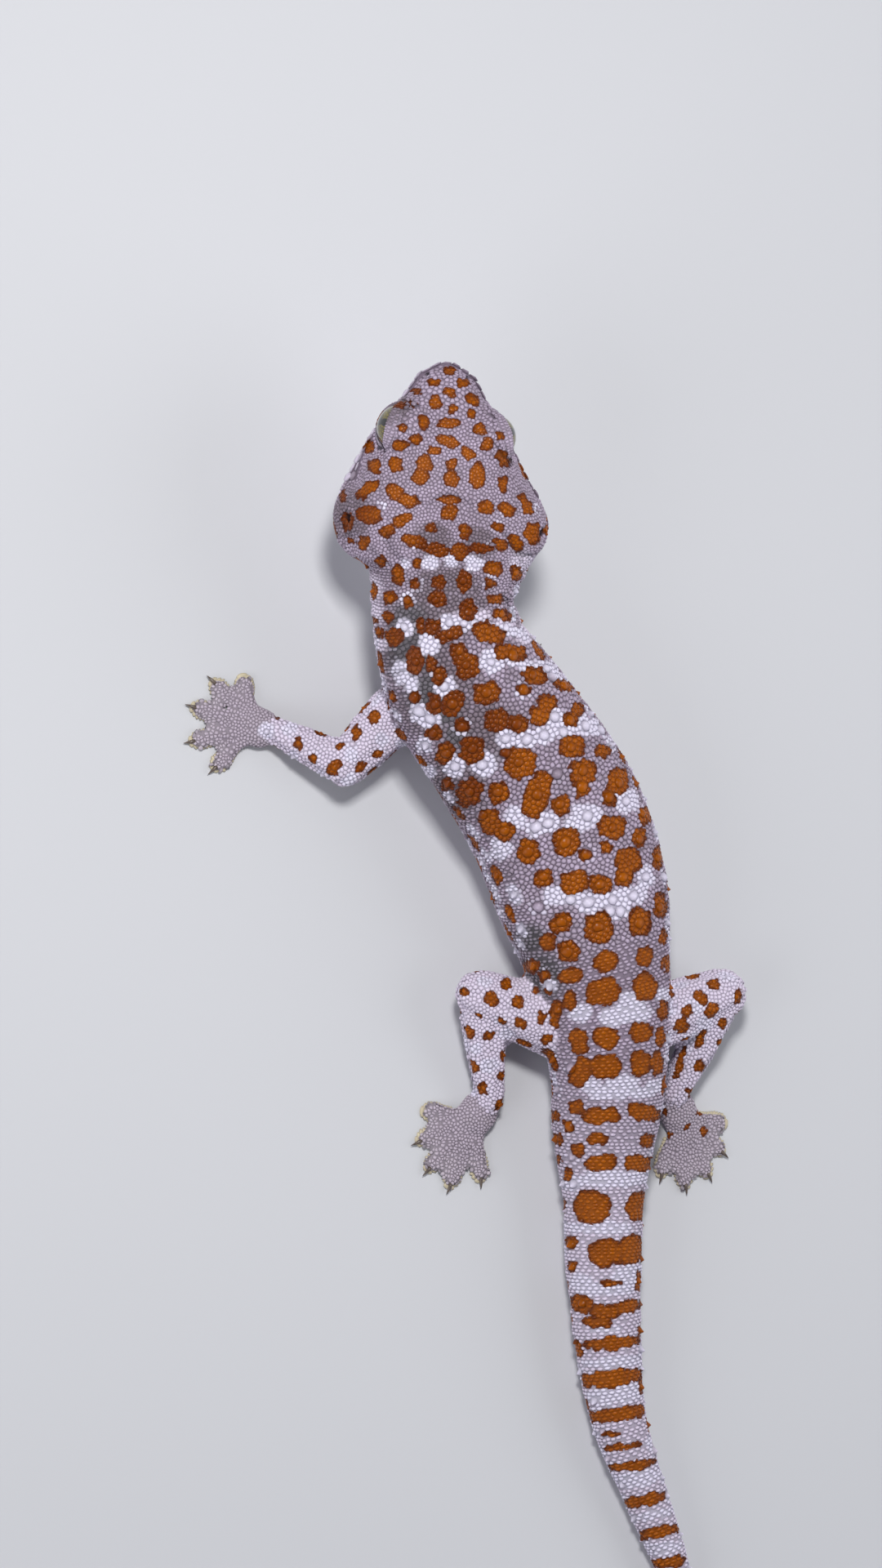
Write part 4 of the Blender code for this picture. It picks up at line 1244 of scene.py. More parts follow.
def scale_sizes(points, normals, parts):
    """Half the space that a scale takes at each place."""
    sizes = np.full(len(points), BACK_SCALE)
    under = fade(-normals[:, 2], 0.30, 0.65)
    station = SNOUT_TIP.y - points[:, 1]
    head = SNOUT_SCALE + (CROWN_SCALE - SNOUT_SCALE) * fade(station, 8 * MM, 18 * MM)
    sizes = np.where(is_part(parts, ("head",)), head, sizes)
    sizes = np.where(is_part(parts, ("lower_jaw",)), THROAT_SCALE, sizes)
    neck = is_part(parts, ("neck",))
    sizes = np.where(neck, CROWN_SCALE + (BACK_SCALE - CROWN_SCALE) * fade(station, 40 * MM, 56 * MM), sizes)
    trunk = is_part(parts, AXIAL_NODES[3:6])
    sizes = np.where(trunk, BACK_SCALE + (BELLY_SCALE - BACK_SCALE) * under, sizes)
    tail = is_part(parts, AXIAL_NODES[6:])
    tip = fade(-points[:, 1], 70 * MM, 145 * MM)
    tail_size = (TAIL_SCALE + (TAIL_UNDER_SCALE - TAIL_SCALE) * under) * (1 - (1 - TAIL_TIP_SHARE) * tip)
    sizes = np.where(tail, tail_size, sizes)
    limb = is_part(parts, [name for leg in LEGS for name in leg.nodes[:2]])
    sizes = np.where(limb, LIMB_SCALE + 0.2 * MM * under, sizes)
    return np.where(is_part(parts, FEET), FOOT_SCALE + 0.1 * MM * under, sizes)


def scale_ratios(normals, parts):
    """How many times wider than long a scale is. Those of flanks and tail are wide."""
    flank = fade(-normals[:, 2], -0.85, -0.35) * (1 - fade(-normals[:, 2], 0.3, 0.6))
    ratios = np.where(is_part(parts, ("neck", "chest")), 1.15 + 0.6 * flank, 1.0)
    ratios = np.where(is_part(parts, ("belly",)), 1.3 + 0.5 * flank, ratios)
    ratios = np.where(is_part(parts, ("pelvis",)), 1.7, ratios)
    return np.where(is_part(parts, AXIAL_NODES[6:]), 1.85, ratios)


# %% Lip plates along the mouth
LIP_PLATE_SPACING = 2.0 * MM
LIP_PLATE_OFFSET = 0.98 * MM
LIP_PLATE_SIZE = 1.15 * MM
LIP_PIVOT = 8 * MM


def lip_line(side, level):
    """Dense places along one side of the mouth at a height over its line, from the snout back."""
    line = []
    for degrees in range(0, 90, 3):
        turn = math.radians(degrees)
        start = head_middle(LIP_PIVOT) + head_up * level
        way = Vector((0, 1, 0.1)) * math.cos(turn) + head_side * side * math.sin(turn)
        line.append(skin_tree.ray_cast(start, way.normalized())[0])
    knots, dips = np.array(MOUTH_DIP).T * MM
    for station in np.arange(LIP_PIVOT, MOUTH_CORNER - 0.3 * MM, 0.4 * MM):
        start = head_middle(station) + head_up * (level + float(np.interp(station, knots, dips)))
        line.append(skin_tree.ray_cast(start, head_side * side)[0])
    return [place for place in line if place is not None]


def walk_evenly(line, spacing, first):
    """Places along a line, one spacing apart, the first at its own distance."""
    places, walked, wanted = [], 0.0, first
    for before, after in zip(line, line[1:]):
        step = (after - before).length
        while walked + step >= wanted:
            places.append(before.lerp(after, (wanted - walked) / step))
            wanted += spacing
        walked += step
    return places


def lip_plates():
    places = []
    for level in (LIP_PLATE_OFFSET, -LIP_PLATE_OFFSET):
        places.append(lip_line(1, level)[0])
        for side in (-1, 1):
            places += walk_evenly(lip_line(side, level), LIP_PLATE_SPACING, LIP_PLATE_SPACING)
    return places


lip_places = lip_plates()
print(len(lip_places), "lip plates")

# %% [markdown]
# ## Tubercles
#
# Between the granules stand larger, domed scales. Most orange spots of the body have one in their
# middle, most white patches have one to three, and more stand between them. The front of the head
# and the top of the tail have none, and along the flanks and the tail's edges they are sharp.

# %% Choose the places of the tubercles
TUBERCLE_SIZE = 1.12 * MM
TUBERCLE_GAP = 5.4 * MM
TWIN_OFFSET = 2.3 * MM
UNRAISED_SHARE = 0.25


def tubercle_share(corner):
    """The size of a tubercle at a corner of the skin, as a share of the largest; 0 for none."""
    part = FLESH_NODES[skin_parts[corner]]
    point, normal = skin_points[corner], skin_normals[corner]
    if part in FEET or part == "lower_jaw" or normal[2] < -0.15:
        return 0.0
    if part == "head":
        return 0.50 if point[1] < 119 * MM else 0.0
    if part == "neck":
        return 0.68
    if part.startswith(("tail", "pelvis")):
        slim = float(fade(-point[1], 40 * MM, 140 * MM))
        return 0.0 if normal[2] > 0.62 else 0.85 - 0.45 * slim
    if part in AXIAL_NODES:
        return 1.0 - 0.3 * float(fade(-normal[2], -0.7, -0.2))
    return 0.5


def choose_tubercles():
    """Rows of (corner, size), from the marks' middles first."""
    chosen = []
    tree_places = []

    def try_corner(corner, gap, draw):
        share = tubercle_share(corner)
        if share == 0.0:
            return
        point = skin_points[corner]
        if tree_places and np.min(np.sum((np.array(tree_places) - point) ** 2, axis=1)) < gap**2:
            return
        chosen.append((corner, TUBERCLE_SIZE * share * draw.uniform(0.88, 1.12)))
        tree_places.append(point)

    draw = random.Random(41)
    for mark in white_marks + orange_marks:
        if mark.size < 0.9 * MM or draw.random() < UNRAISED_SHARE:
            continue
        try_corner(near_corner(mark.place), 2.1 * MM, draw)
        wide = 1 / np.linalg.norm(mark.rows[0]) > 1.45 * mark.size
        if wide:
            way = mark.rows[0] / np.linalg.norm(mark.rows[0])
            for side in (-1, 1):
                try_corner(near_corner(mark.place + way * side * TWIN_OFFSET), 2.1 * MM, draw)
    order = list(range(len(skin_points)))
    draw.shuffle(order)
    for corner in order[: len(order) // 2]:
        try_corner(corner, TUBERCLE_GAP * (0.75 + 0.25 * tubercle_share(corner)), draw)
    return chosen


tubercles = choose_tubercles()
print(len(tubercles), "tubercles")

# %% Rows of small scales on the lids
LID_SCALES = (0.24 * MM, 0.34 * MM)  # at the rim and behind it
LID_ROWS = (0.03, 0.15, 0.29, 0.44, 0.60, 0.76, 0.90)


def scales_on_a_lid(eye):
    """(place, size) for each scale of a lid, from the rim outwards, none too close."""
    shares, heights = np.array(LID_PROFILE[LID_RIM:]).T
    placed = []
    for row, share in enumerate(LID_ROWS):
        size = LID_SCALES[0] if row == 0 else LID_SCALES[1]
        for step in range(240):
            height = float(np.interp(share, shares, heights)) * MM
            place = lid_place(eye, 2 * math.pi * (step + 0.5 * (row % 2)) / 240, share, height)
            if all((place - other).length > 0.92 * (size + near) for other, near in placed):
                placed.append((place, size))
    return placed


lid_seeds = [item for eye in eyes for item in scales_on_a_lid(eye)]
print(len(lid_seeds), "scales on the lids")

# %% Scatter the granules round them
CANDIDATES = 420_000
CROWDING = 1.54


def random_places(mesh, count, seed):
    """Random places on the mesh, spread by area, with their nearest corners."""
    mesh.calc_loop_triangles()
    corners = np.empty(len(mesh.loop_triangles) * 3, dtype=np.int64)
    mesh.loop_triangles.foreach_get("vertices", corners)
    corners = corners.reshape(-1, 3)
    a, b, c = (skin_points[corners[:, k]] for k in range(3))
    area = np.linalg.norm(np.cross(b - a, c - a), axis=1)
    draw = np.random.default_rng(seed)
    chosen = draw.choice(len(corners), count, p=area / area.sum())
    u, v = draw.random(count), draw.random(count)
    over = u + v > 1
    u[over], v[over] = 1 - u[over], 1 - v[over]
    places = a[chosen] + (b - a)[chosen] * u[:, None] + (c - a)[chosen] * v[:, None]
    shares = np.stack([1 - u - v, u, v], -1)
    nearest = corners[chosen, np.argmax(shares, axis=1)]
    return places, nearest


def in_a_hollow(points):
    """True under the lids, in the nostrils and in the ears."""
    hollow = in_an_opening(points)
    for places, reach in zip((nostrils, ears), HOLE_REACHES):
        for place in places:
            hollow |= away_from_hole(points, place) < reach * 0.75
    return hollow


def scatter():
    """Places, sizes and kinds of all scales: the fixed ones first, then the granules."""
    fixed = [(place, LIP_PLATE_SIZE, 2) for place in lip_places]
    fixed += [(Vector(skin_points[corner]), size, 1) for corner, size in tubercles]
    fixed += [(place, size, 3) for place, size in lid_seeds]
    places, nearest = random_places(skin_mesh, CANDIDATES, 51)
    sizes = scale_sizes(skin_points, skin_normals, skin_parts)[nearest]
    stretch = np.sqrt(scale_ratios(skin_normals, skin_parts))[nearest]
    lie, normals = skin_lie[nearest], skin_normals[nearest]
    alive = ~in_a_hollow(places)
    tree = KDTree(len(places))
    for index in np.flatnonzero(alive):
        tree.insert(places[index], index)
    tree.balance()
    for place, size, kind in fixed:
        for _, index, distance in tree.find_range(place, size + 0.5 * MM):
            if distance < (size + sizes[index]) * 0.88:
                alive[index] = False
    kept = []
    for index in range(len(places)):
        if not alive[index]:
            continue
        kept.append(index)
        wanted, wide = sizes[index] * CROWDING, stretch[index]
        others = np.array([item[1] for item in tree.find_range(places[index], wanted * wide)])
        offset = places[others] - places[index]
        along = (offset @ lie[index]) * wide
        across = (offset @ np.cross(normals[index], lie[index])) / wide
        alive[others[np.hypot(along, across) < wanted]] = False
    kept = np.array(kept)
    all_places = np.concatenate([np.array([list(item[0]) for item in fixed]), places[kept]])
    all_sizes = np.concatenate([np.array([item[1] for item in fixed]), sizes[kept]])
    kinds = np.concatenate([np.array([item[2] for item in fixed]), np.zeros(len(kept), int)])
    return all_places, all_sizes, kinds


seed_places, seed_sizes, seed_kinds = scatter()
print(len(seed_places), "scales placed")

# %% [markdown]
# ## Pushing the scales apart
#
# In each round a scale moves away from neighbours that stand closer than their two sizes allow,
# and then it is set back on the skin. Half a dozen rounds turn a random scatter into the even,
# slightly crooked rows of real granules. On the flanks and the tail, distance along the body
# counts for more than distance across it, so that the scales there end up wide and short, and
# each is also drawn to the nearest of the rings that run round the body there.

# %% Even out the scales
ROUNDS = 9
PUSH = 0.34
NEIGHBOURS = 11
RING_HEIGHT = 1.33
RING_PULL = 0.7


def neighbours_of(points, count):
    tree = KDTree(len(points))
    for index, point in enumerate(points):
        tree.insert(point, index)
    tree.balance()
    return np.array([[found[1] for found in tree.find_n(point, count)][1:] for point in points])


def surface_at(points):
    """The normal and the part of the skin under each point."""
    nearest = np.array([near_corner(point) for point in points])
    return skin_normals[nearest], skin_parts[nearest]


def ring_numbers():
    """How many rings of scales lie between each place of the body line and its first one."""
    count = len(body_line)
    parts = parts_at(body_line)
    sizes = scale_sizes(body_line, np.tile((0.0, 0.0, 1.0), (count, 1)), parts)
    steps = np.linalg.norm(np.diff(body_line, axis=0), axis=1)
    heights = RING_HEIGHT * (sizes[1:] + sizes[:-1]) / 2
    return np.concatenate([[0], np.cumsum(steps / heights)]), RING_HEIGHT * sizes


rings_before, ring_heights = ring_numbers()


def ring_height_at(points):
    return np.interp(points[:, 1], body_line[:, 1], ring_heights)


def shift_to_ring(points):
    """How far each place is from the nearest ring, along the body towards the tail."""
    middle, way = line_at(points[:, 1])
    height = ring_height_at(points)
    beyond = np.sum((points - middle) * way, axis=1)
    number = np.interp(points[:, 1], body_line[:, 1], rings_before) - beyond / height
    return (number - np.round(number)) * height


def how_ringed(normals, parts):
    """1 where the scales stand in rings, as on the tail and the flanks, and 0 where they don't."""
    return np.clip((scale_ratios(normals, parts) - 1.2) / 0.4, 0, 1) * (normals[:, 2] > -0.3)


def even_out(points, sizes, kinds):
    free = kinds == 0
    points = points.copy()
    normals, parts = surface_at(points)
    lie = lay_into_surface(scale_lie(points, parts), normals)
    side = np.cross(normals, lie)
    ratios = scale_ratios(normals, parts)
    stretch = np.sqrt(ratios)[:, None]
    ringed = how_ringed(normals, parts)
    for turn in range(ROUNDS):
        if turn % 2 == 0:
            near = neighbours_of(points, NEIGHBOURS)
        offset = points[:, None, :] - points[near]
        along = np.einsum("nkd,nd->nk", offset, lie) * stretch
        across = np.einsum("nkd,nd->nk", offset, side) / stretch
        distance = np.hypot(along, across) + 1e-9
        wanted = (sizes[:, None] + sizes[near]) * 1.04
        push = np.clip(wanted - distance, 0, None) / distance
        step = np.sum(offset * push[:, :, None], axis=1) * PUSH
        to_ring = shift_to_ring(points) * ringed * RING_PULL
        step += lie * to_ring[:, None]
        points[free] += step[free]
        for index in np.flatnonzero(free):
            points[index] = skin_tree.find_nearest(points[index])[0]
    return points


seed_places = even_out(seed_places, seed_sizes, seed_kinds)
keep = ~in_a_hollow(seed_places) | (seed_kinds > 0)
seed_places, seed_sizes, seed_kinds = seed_places[keep], seed_sizes[keep], seed_kinds[keep]
print(len(seed_places), "scales after evening out")

# %% [markdown]
# ## The outline of each scale
#
# A packed scale is as wide in each direction as its neighbours leave it. The half-way line to a
# neighbour, shared by size, limits it, and the nearest such line in each of seven directions gives
# its outline. So every scale is a slightly different many-sided pebble and the gaps are thin lines.

# %% Work out where each scale lies and how far it reaches
SIDES_OF_A_SCALE = 7
OUTLINE_NEIGHBOURS = 13
GAP_SHARE = 0.97


seed_normals, seed_parts = surface_at(seed_places)
on_lids = np.flatnonzero(seed_kinds == 3)
lid_middles = np.array([eyes[int(place[0] > SNOUT_TIP.x)][0] for place in seed_places[on_lids]])
seed_normals[on_lids] = unit(seed_places[on_lids] - lid_middles)
seed_parts[on_lids] = NODE_NUMBER["head"]
seed_lie = lay_into_surface(scale_lie(seed_places, seed_parts), seed_normals)
seed_side = np.cross(seed_normals, seed_lie)


def outlines(points, sizes, lie, side, sides):
    """How far each scale reaches in each of its directions, counted from its lie."""
    in_ring = np.where(how_ringed(seed_normals, seed_parts) > 0.5, ring_height_at(points) / 2, 1.0)
    in_ring = np.where(seed_kinds == 0, in_ring, 1.0)
    near = neighbours_of(points, OUTLINE_NEIGHBOURS)
    offset = points[near] - points[:, None, :]
    length = np.linalg.norm(offset, axis=2) + 1e-9
    along = np.einsum("nkd,nd->nk", offset, lie) / length
    across = np.einsum("nkd,nd->nk", offset, side) / length
    limit = length * sizes[:, None] / (sizes[:, None] + sizes[near])
    reach = np.empty((len(points), sides))
    for k in range(sides):
        turn = 2 * math.pi * k / sides
        towards = along * math.cos(turn) + across * math.sin(turn)
        to_line = np.where(towards > 0.2, limit / np.maximum(towards, 0.2), 1.0)
        reach[:, k] = np.minimum(to_line.min(axis=1), in_ring / max(abs(math.cos(turn)), 0.05))
    return np.clip(reach, 0.45 * sizes[:, None], 1.55 * sizes[:, None]) * GAP_SHARE


seed_reach = outlines(seed_places, seed_sizes, seed_lie, seed_side, SIDES_OF_A_SCALE)
print("mean reach of a scale in mm:", round(float(seed_reach.mean()) / MM, 3))
on_tail = is_part(seed_parts, AXIAL_NODES[6:])
shape = seed_reach[on_tail].mean(axis=0) / MM
print("a tail scale reaches", round(float(shape[0]), 2), "mm along and", round(float(shape[2]), 2), "across")

# %% [markdown]
# ## One scale, made once
#
# A granule is a small bead with its foot sunk in the skin, a tubercle is a low, wide dome, and a
# spine is a cone.
# Each is modelled once, from a disc that is extruded and scaled up level by level and poked to a
# tip. Its corners are read off as a direction, a share of the reach and a height, so that it can be
# printed thousands of times in joined meshes.

# %% The three moulds
GRANULE_LEVELS = ((1.0, -0.55), (0.97, 0.22), (0.74, 0.78))
TUBERCLE_LEVELS = ((1.0, -0.4), (0.93, 0.34), (0.66, 0.66), (0.30, 0.82))
SPINE_LEVELS = ((1.0, -0.3), (0.78, 0.22), (0.44, 0.56), (0.17, 0.86))


class Mould(NamedTuple):
    """A scale's shape: each corner's direction number, share and height, and its faces."""

    direction: np.ndarray
    share: np.ndarray
    height: np.ndarray
    faces: list


def extrude_face(bm, face, keep):
    """Extrudes a face in place: the new face and its corners. The old face goes unless it is kept."""
    made = bmesh.ops.extrude_face_region(bm, geom=[face])["geom"]
    if not keep:
        bmesh.ops.delete(bm, geom=[face], context="FACES_ONLY")
    corners = [item for item in made if isinstance(item, bmesh.types.BMVert)]
    return next(item for item in made if isinstance(item, bmesh.types.BMFace)), corners


def make_mould(sides, levels):
    bm = bmesh.new()
    share, height = levels[0]
    foot = Matrix.Translation((0, 0, height))
    bmesh.ops.create_circle(bm, cap_ends=True, segments=sides, radius=share, matrix=foot)
    top = next(iter(bm.faces))
    for (before, low), (after, high) in zip(levels, levels[1:]):
        top, corners = extrude_face(bm, top, keep=low == levels[0][1])
        bmesh.ops.scale(bm, verts=corners, vec=(after / before, after / before, 1))
        bmesh.ops.translate(bm, verts=corners, vec=(0, 0, high - low))
    peak = 1 - levels[-1][1]
    bm.normal_update()
    bmesh.ops.poke(bm, faces=[top], offset=peak if top.normal.z > 0 else -peak)
    bmesh.ops.recalc_face_normals(bm, faces=bm.faces)
    bm.verts.index_update()
    places = np.array([vert.co for vert in bm.verts])
    turn = np.arctan2(places[:, 1], places[:, 0]) * sides / (2 * math.pi)
    direction = np.round(turn).astype(int) % sides
    faces = sorted(([vert.index for vert in face.verts] for face in bm.faces), key=len, reverse=True)
    print("mould:", len(bm.verts), "corners,", len(bm.calc_loop_triangles()), "triangles")
    bm.free()
    return Mould(direction, np.hypot(places[:, 0], places[:, 1]), places[:, 2], faces)


granule_mould = make_mould(SIDES_OF_A_SCALE, GRANULE_LEVELS)
tubercle_mould = make_mould(SIDES_OF_A_SCALE, TUBERCLE_LEVELS)
spine_mould = make_mould(SIDES_OF_A_SCALE, SPINE_LEVELS)

# %% [markdown]
# ## The height and the lean of each scale
#
# Granules of the back are high beads, those inside a spot are lower, and those of the belly and
# the toes are flat and overlap like tiles. Tubercles are low domes on the back, and stand up as
# short spines along the flanks and the tail. Where the skin of the shoulder is stretched, the
# granules almost disappear. Some beads that ring a tubercle are white.

# %% Height, lean and tone
GRANULE_RISE = 0.66
HEAD_RISE = 0.50
BELLY_RISE = 0.34
LIP_RISE = 0.19
TUBERCLE_RISE = 0.78
SPINE_RISE = 1.0
HEAD_TUBERCLE_RISE = 0.65
SPOT_RISE_SHARE = 0.52
BACK_LEAN = math.radians(7)
BELLY_LEAN = math.radians(14)
TUBERCLE_LEAN = math.radians(8)
SPINE_LEAN = math.radians(24)
STRETCHED_SKIN = ((505, 800, 42), (525, 850, 38), (500, 760, 32), (545, 870, 26), (560, 900, 22),
                  (662, 1196, 44), (650, 1150, 26))  # picture place and reach, pixels


seed_spiny = 1 - fade(seed_normals[:, 2], 0.35, 0.85)
seed_spiny = np.maximum(seed_spiny, 0.7 * is_part(seed_parts, AXIAL_NODES[6:]))


def heights_and_leans(orange):
    upward = seed_normals[:, 2]
    under = fade(-upward, 0.2, 0.6)
    head = is_part(seed_parts, ("head", "lower_jaw"))
    rise = np.where(head, HEAD_RISE, GRANULE_RISE)
    rise = rise + (BELLY_RISE - rise) * under
    rise = rise * (1 + (SPOT_RISE_SHARE - 1) * orange)
    lean = BACK_LEAN + (BELLY_LEAN - BACK_LEAN) * under
    tubercle, lip = seed_kinds == 1, seed_kinds == 2
    dome = TUBERCLE_RISE * (1 - 0.3 * orange)
    dome = dome + (SPINE_RISE - dome) * seed_spiny
    rise = np.where(tubercle, np.where(head, HEAD_TUBERCLE_RISE, dome), rise)
    rise = np.where(lip, LIP_RISE, rise)
    dome_lean = TUBERCLE_LEAN + (SPINE_LEAN - TUBERCLE_LEAN) * seed_spiny
    lean = np.where(tubercle, dome_lean, np.where(lip, 0.0, lean))
    draw = np.random.default_rng(61)
    tone = 0.5 + 0.35 * (draw.random(len(seed_places)) * 2 - 1)
    rise = rise * (0.85 + 0.3 * draw.random(len(seed_places)))
    return rise * seed_sizes, lean, tone


def white_beads(orange):
    """How white each granule next to a tubercle is; some tubercles have a whole ring."""
    tree = KDTree(len(tubercles))
    for index, (corner, _) in enumerate(tubercles):
        tree.insert(skin_points[corner], index)
    tree.balance()
    draw = np.random.default_rng(67)
    ring = draw.uniform(0.15, 1.0, len(tubercles))
    side = draw.uniform(-math.pi, math.pi, len(tubercles))
    beads = np.zeros(len(seed_places))
    for index in np.flatnonzero((seed_kinds == 0) & (orange < 0.5)):
        place, number, away = tree.find(seed_places[index])
        gap = away - tubercles[number][1]
        if gap > 0.75 * MM:
            continue
        offset = seed_places[index] - np.array(place)
        turn = math.atan2(offset[1], offset[0])
        beads[index] = ring[number] * (0.62 + 0.38 * math.cos(turn - side[number]))
    return beads


seed_markings = markings_at(seed_places, seed_normals, seed_parts)
seed_heights, seed_leans, seed_tones = heights_and_leans(seed_markings["orange"])
seed_smooth = picture_regions(seed_places, STRETCHED_SKIN) * (seed_normals @ np.array(towards_camera) > 0)
seed_heights *= 1 - 0.6 * seed_smooth * (seed_kinds == 0)
seed_beads = white_beads(seed_markings["orange"])
# how much painted shade the creases put on each scale
seed_crease_shade = creases_at(seed_places)[1]
print("orange scales:", int((seed_markings["orange"] > 0.5).sum()))

# %% [markdown]
# ## Where each scale lies on the unwrap
#
# Every coat piece carries a map in which a scale is a patch about 0.003 across. The patch sits at
# the root's place on an unwrap of the skin itself: distance along the part one way and the turn
# round it the other, each part in its own column. Feet are laid out flat, tops beside soles.

# %% The unwrap
MAP_MARGIN = 0.02
PATCH = 0.003


def turn_round(points, middle, way):
    """The turn round a line, from -0.5 to 0.5, with 0 straight up."""
    side = unit(np.cross(way, np.array((0.0, 0.0, 1.0))[None, :]))
    up = np.cross(side, way)
    offset = points - middle
    return np.arctan2(np.sum(offset * side, 1), np.sum(offset * up, 1)) / (2 * math.pi)


def unwrap_part(name, points, normals):
    """Each root's place on its own part's unwrap, both numbers growing along and round it."""
    leg = next((leg for leg in LEGS if name in leg.nodes), None)
    if leg is None:
        middle, way = line_at(points[:, 1])
        return turn_round(points, middle, way), points[:, 1]
    if name == leg.nodes[2]:
        out = np.array(flat_direction(leg.heading))
        across = np.array(UP.cross(flat_direction(leg.heading)))
        offset = points - np.array(palm_of(leg))
        wide = np.abs(offset @ across).max()
        flat = (offset @ across) / wide / 4.2
        return np.where(normals[:, 2] > 0, flat - 0.25, flat + 0.25), offset @ out
    start, end = ((leg.root, leg.bend), (leg.bend, leg.ankle))[leg.nodes.index(name)]
    start, end = Vector(start) * MM, Vector(end) * MM
    way = np.array((end - start).normalized())
    along = (points - np.array(start)) @ way
    middle = np.array(start) + along[:, None] * way
    return turn_round(points, middle, np.tile(way, (len(points), 1))), along


def unwrap_places(names, chosen):
    """The patch middles of the chosen scales, in a map that the named parts share."""
    columns = [names] if names[0] in AXIAL_NODES else [(name,) for name in names]
    places = np.zeros((len(chosen), 2))
    for number, column in enumerate(columns):
        own = is_part(seed_parts[chosen], column)
        index = chosen[own]
        turn, along = unwrap_part(column[0], seed_places[index], seed_normals[index])
        span = along.max() - along.min()
        places[own, 0] = (number + 0.5 + turn * 0.97) / len(columns)
        places[own, 1] = (along - along.min()) / span
    return MAP_MARGIN + (1 - 2 * MAP_MARGIN) * np.clip(places, 0, 1)


# %% [markdown]
# ## Printing the scales
#
# Now the mould meets the map: one joined mesh for each region, made straight from arrays, because
# tens of thousands of separate objects would be far too slow. The markings are read at each corner
# of a scale, a little inside it, so the edge of a spot runs through the scales that it crosses.

# %% Print joined meshes of scales
PIGMENT_SHARE = 0.6
DOME_WHITE = 0.85


def joined_mesh(name, corners, mould, count):
    """One mesh of count copies of the mould's faces over the corners' rows."""
    per = len(mould.direction)
    flat = np.concatenate([np.array(face) for face in mould.faces])
    sizes = np.array([len(face) for face in mould.faces])
    starts = np.concatenate([[0], np.cumsum(sizes)[:-1]])
    loops = (flat[None, :] + per * np.arange(count)[:, None]).ravel()
    loop_starts = (starts[None, :] + len(flat) * np.arange(count)[:, None]).ravel()
    mesh = bpy.data.meshes.new(name)
    mesh.vertices.add(per * count)
    mesh.vertices.foreach_set("co", corners.ravel())
    mesh.loops.add(len(loops))
    mesh.loops.foreach_set("vertex_index", loops.astype(np.int32))
    mesh.polygons.add(len(loop_starts))
    mesh.polygons.foreach_set("loop_start", loop_starts.astype(np.int32))
    mesh.polygons.foreach_set("use_smooth", np.ones(len(loop_starts), bool))
    mesh.update(calc_edges=True)
    return mesh, loops


def add_numbers(mesh, name, values):
    layer = mesh.attributes.new(name, "FLOAT", "POINT")
    layer.data.foreach_set("value", np.ascontiguousarray(values, dtype=np.float32))


def add_piece(name, mesh):
    piece = bpy.data.objects.new(name, mesh)
    bpy.context.scene.collection.objects.link(piece)
    return piece


def print_scales(name, names, chosen, mould):
    """A piece with a copy of the mould on each chosen seed."""
    reach = seed_reach[chosen][:, mould.direction] * mould.share[None, :]
    turn = 2 * math.pi * mould.direction / SIDES_OF_A_SCALE
    cos_lean = np.cos(seed_leans[chosen])[:, None]
    sin_lean = np.sin(seed_leans[chosen])[:, None]
    lie = seed_lie[chosen] * cos_lean + seed_normals[chosen] * sin_lean
    rise = seed_normals[chosen] * cos_lean - seed_lie[chosen] * sin_lean
    if mould is not granule_mould:
        lie = seed_lie[chosen]
        rise = seed_normals[chosen] * cos_lean + seed_lie[chosen] * sin_lean
    along = reach * np.cos(turn)[None, :]
    across = reach * np.sin(turn)[None, :]
    up = seed_heights[chosen][:, None] * mould.height[None, :]
    corners = (
        seed_places[chosen][:, None, :]
        + along[:, :, None] * lie[:, None, :]
        + across[:, :, None] * seed_side[chosen][:, None, :]
        + up[:, :, None] * rise[:, None, :]
    )
    corners[:, :, 2] = np.maximum(corners[:, :, 2], 0.0)
    mesh, loops = joined_mesh(name, corners, mould, len(chosen))
    per = len(mould.direction)
    flat = seed_places[chosen][:, None, :] + PIGMENT_SHARE * (
        along[:, :, None] * seed_lie[chosen][:, None, :] + across[:, :, None] * seed_side[chosen][:, None, :]
    )
    markings = markings_at(
        flat.reshape(-1, 3), np.repeat(seed_normals[chosen], per, 0), np.repeat(seed_parts[chosen], per)
    )
    white_share = np.where(seed_kinds[chosen] == 1, DOME_WHITE, 1.0)
    markings["white"] = np.clip(
        markings["white"] * np.repeat(white_share, per) + np.repeat(seed_beads[chosen], per), 0, 1
    )
    for key, values in markings.items():
        add_numbers(mesh, key, values)
    add_numbers(mesh, "tone", np.repeat(seed_tones[chosen], per))
    # each corner's height share, which the shader turns into painted shade at a scale's foot and a painted
    # highlight at its top
    add_numbers(mesh, "rise", np.tile(np.clip(mould.height, 0, 1), len(chosen)))
    # painted shade from the creases
    add_numbers(mesh, "hollow", np.repeat(0.6 * seed_crease_shade[chosen], per))
    add_numbers(mesh, "smooth", np.repeat(seed_smooth[chosen], per))
    middles = np.repeat(unwrap_places(names, chosen), per, axis=0)
    patch = np.stack([mould.share * np.cos(turn), mould.share * np.sin(turn)], -1) * PATCH / 2
    layer = mesh.uv_layers.new(name="OFBake")
    layer.data.foreach_set("uv", (middles + np.tile(patch, (len(chosen), 1)))[loops].ravel())
    triangles = len(chosen) * sum(len(face) - 2 for face in mould.faces)
    print(name, len(chosen), "scales,", triangles, "triangles")
    return add_piece(name, mesh)


